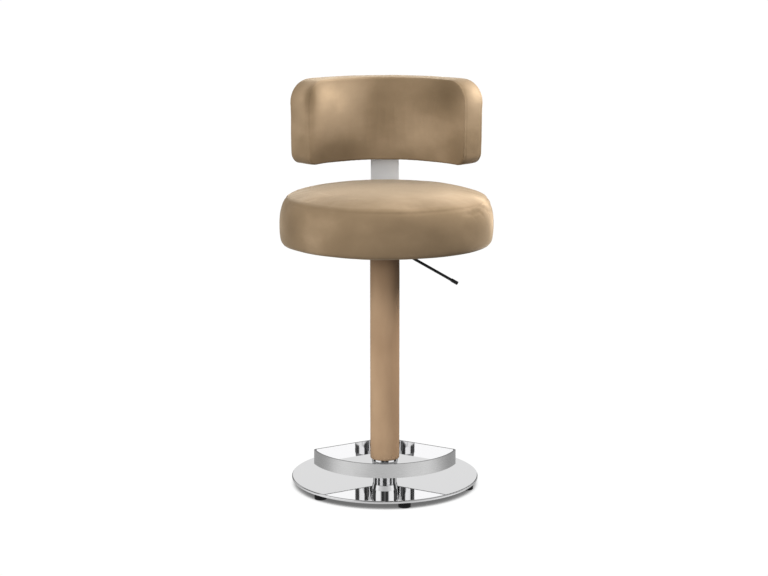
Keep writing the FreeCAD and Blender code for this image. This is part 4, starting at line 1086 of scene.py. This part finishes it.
def seen_by_ray(tree, eye, glossy, other):
    """One shader for camera rays, one for glossy rays and one for all others."""
    path = tree.add("ShaderNodeLightPath")
    is_glossy, is_camera = path.outputs["Is Glossy Ray"], path.outputs["Is Camera Ray"]
    unseen = tree.add("ShaderNodeMixShader", {0: is_glossy, 1: other, 2: glossy})
    return tree.add("ShaderNodeMixShader", {0: is_camera, 1: unseen, 2: eye})


def make_world():
    """Even white light for the eye and the cloth, and softboxes in a dark room for the chrome."""
    world = bpy.data.worlds.new("studio")
    scene.world = world
    world.use_nodes = True
    tree = Tree(world.node_tree)
    backdrop = tree.add("ShaderNodeBackground", {"Color": WHITE, "Strength": BACKDROP_SEEN})
    fill = tree.add("ShaderNodeBackground", {"Color": WARM_WHITE, "Strength": WORLD_FILL})
    direction = tree.add("ShaderNodeTexCoord").outputs["Generated"]
    round_about = azimuth_pattern(tree, direction, ROOM_GREYS)
    height = tree.add("ShaderNodeSeparateXYZ", {0: direction}).outputs[2]
    room = tree.mix(tree.ramp(height, CEILING_HEIGHT), round_about, CEILING_GREY)
    panels = tree.add("ShaderNodeBackground", {"Color": room})
    tree.add("ShaderNodeOutputWorld", {"Surface": seen_by_ray(tree, backdrop, panels, fill)})


def make_floor():
    """A white floor whose only shadow is the soft one where something nearly touches it.

    It is clear from below.
    """
    material = bpy.data.materials.new("studio_floor")
    material.use_nodes = True
    tree = Tree(material.node_tree)
    openness = tree.add("ShaderNodeAmbientOcclusion", {"Distance": CONTACT_REACH}, samples=16)
    shade = tree.ramp(openness.outputs["AO"], CONTACT_SHADE)
    paper = tree.add("ShaderNodeEmission", {"Color": shade, "Strength": FLOOR_SEEN})
    bounce = tree.add("ShaderNodeEmission", {"Color": WHITE, "Strength": FLOOR_BOUNCE})
    place = tree.add("ShaderNodeTexCoord").outputs["Object"]
    grey = azimuth_pattern(tree, place, FLOOR_GREYS)
    mirrored = tree.add("ShaderNodeEmission", {"Color": grey, "Strength": 1.0})
    from_above = seen_by_ray(tree, paper, mirrored, bounce)
    below = tree.add("ShaderNodeNewGeometry").outputs["Backfacing"]
    clear = tree.add("ShaderNodeBsdfTransparent")
    whole = tree.add("ShaderNodeMixShader", {0: below, 1: from_above, 2: clear})
    tree.add("ShaderNodeOutputMaterial", {"Surface": whole})
    half = FLOOR_HALF
    corners = [(-half, -half, 0), (half, -half, 0), (half, half, 0), (-half, half, 0)]
    piece = make_piece("studio_floor", corners, [(0, 1, 2, 3)], material)


def area_light(name, place, size, power):
    """A round softbox at (azimuth, elevation, distance) from the middle of the stool."""
    azimuth, elevation, distance = place
    turn, rise = math.radians(azimuth), math.radians(elevation)
    toward = Vector((
        math.sin(turn) * math.cos(rise), -math.cos(turn) * math.cos(rise), math.sin(rise),
    ))
    data = bpy.data.lights.new(name, "AREA")
    data.shape = "DISK"
    data.size = size
    data.energy = power
    light = add_object(name, data)
    light.visible_glossy = False
    light.location = LIGHTS_LOOK_AT + toward * distance
    light.rotation_euler = toward.to_track_quat("Z", "Y").to_euler()


make_world()
make_floor()
for light_name, (place, light_size, power) in SOFTBOXES.items():
    area_light(light_name, place, light_size, power)
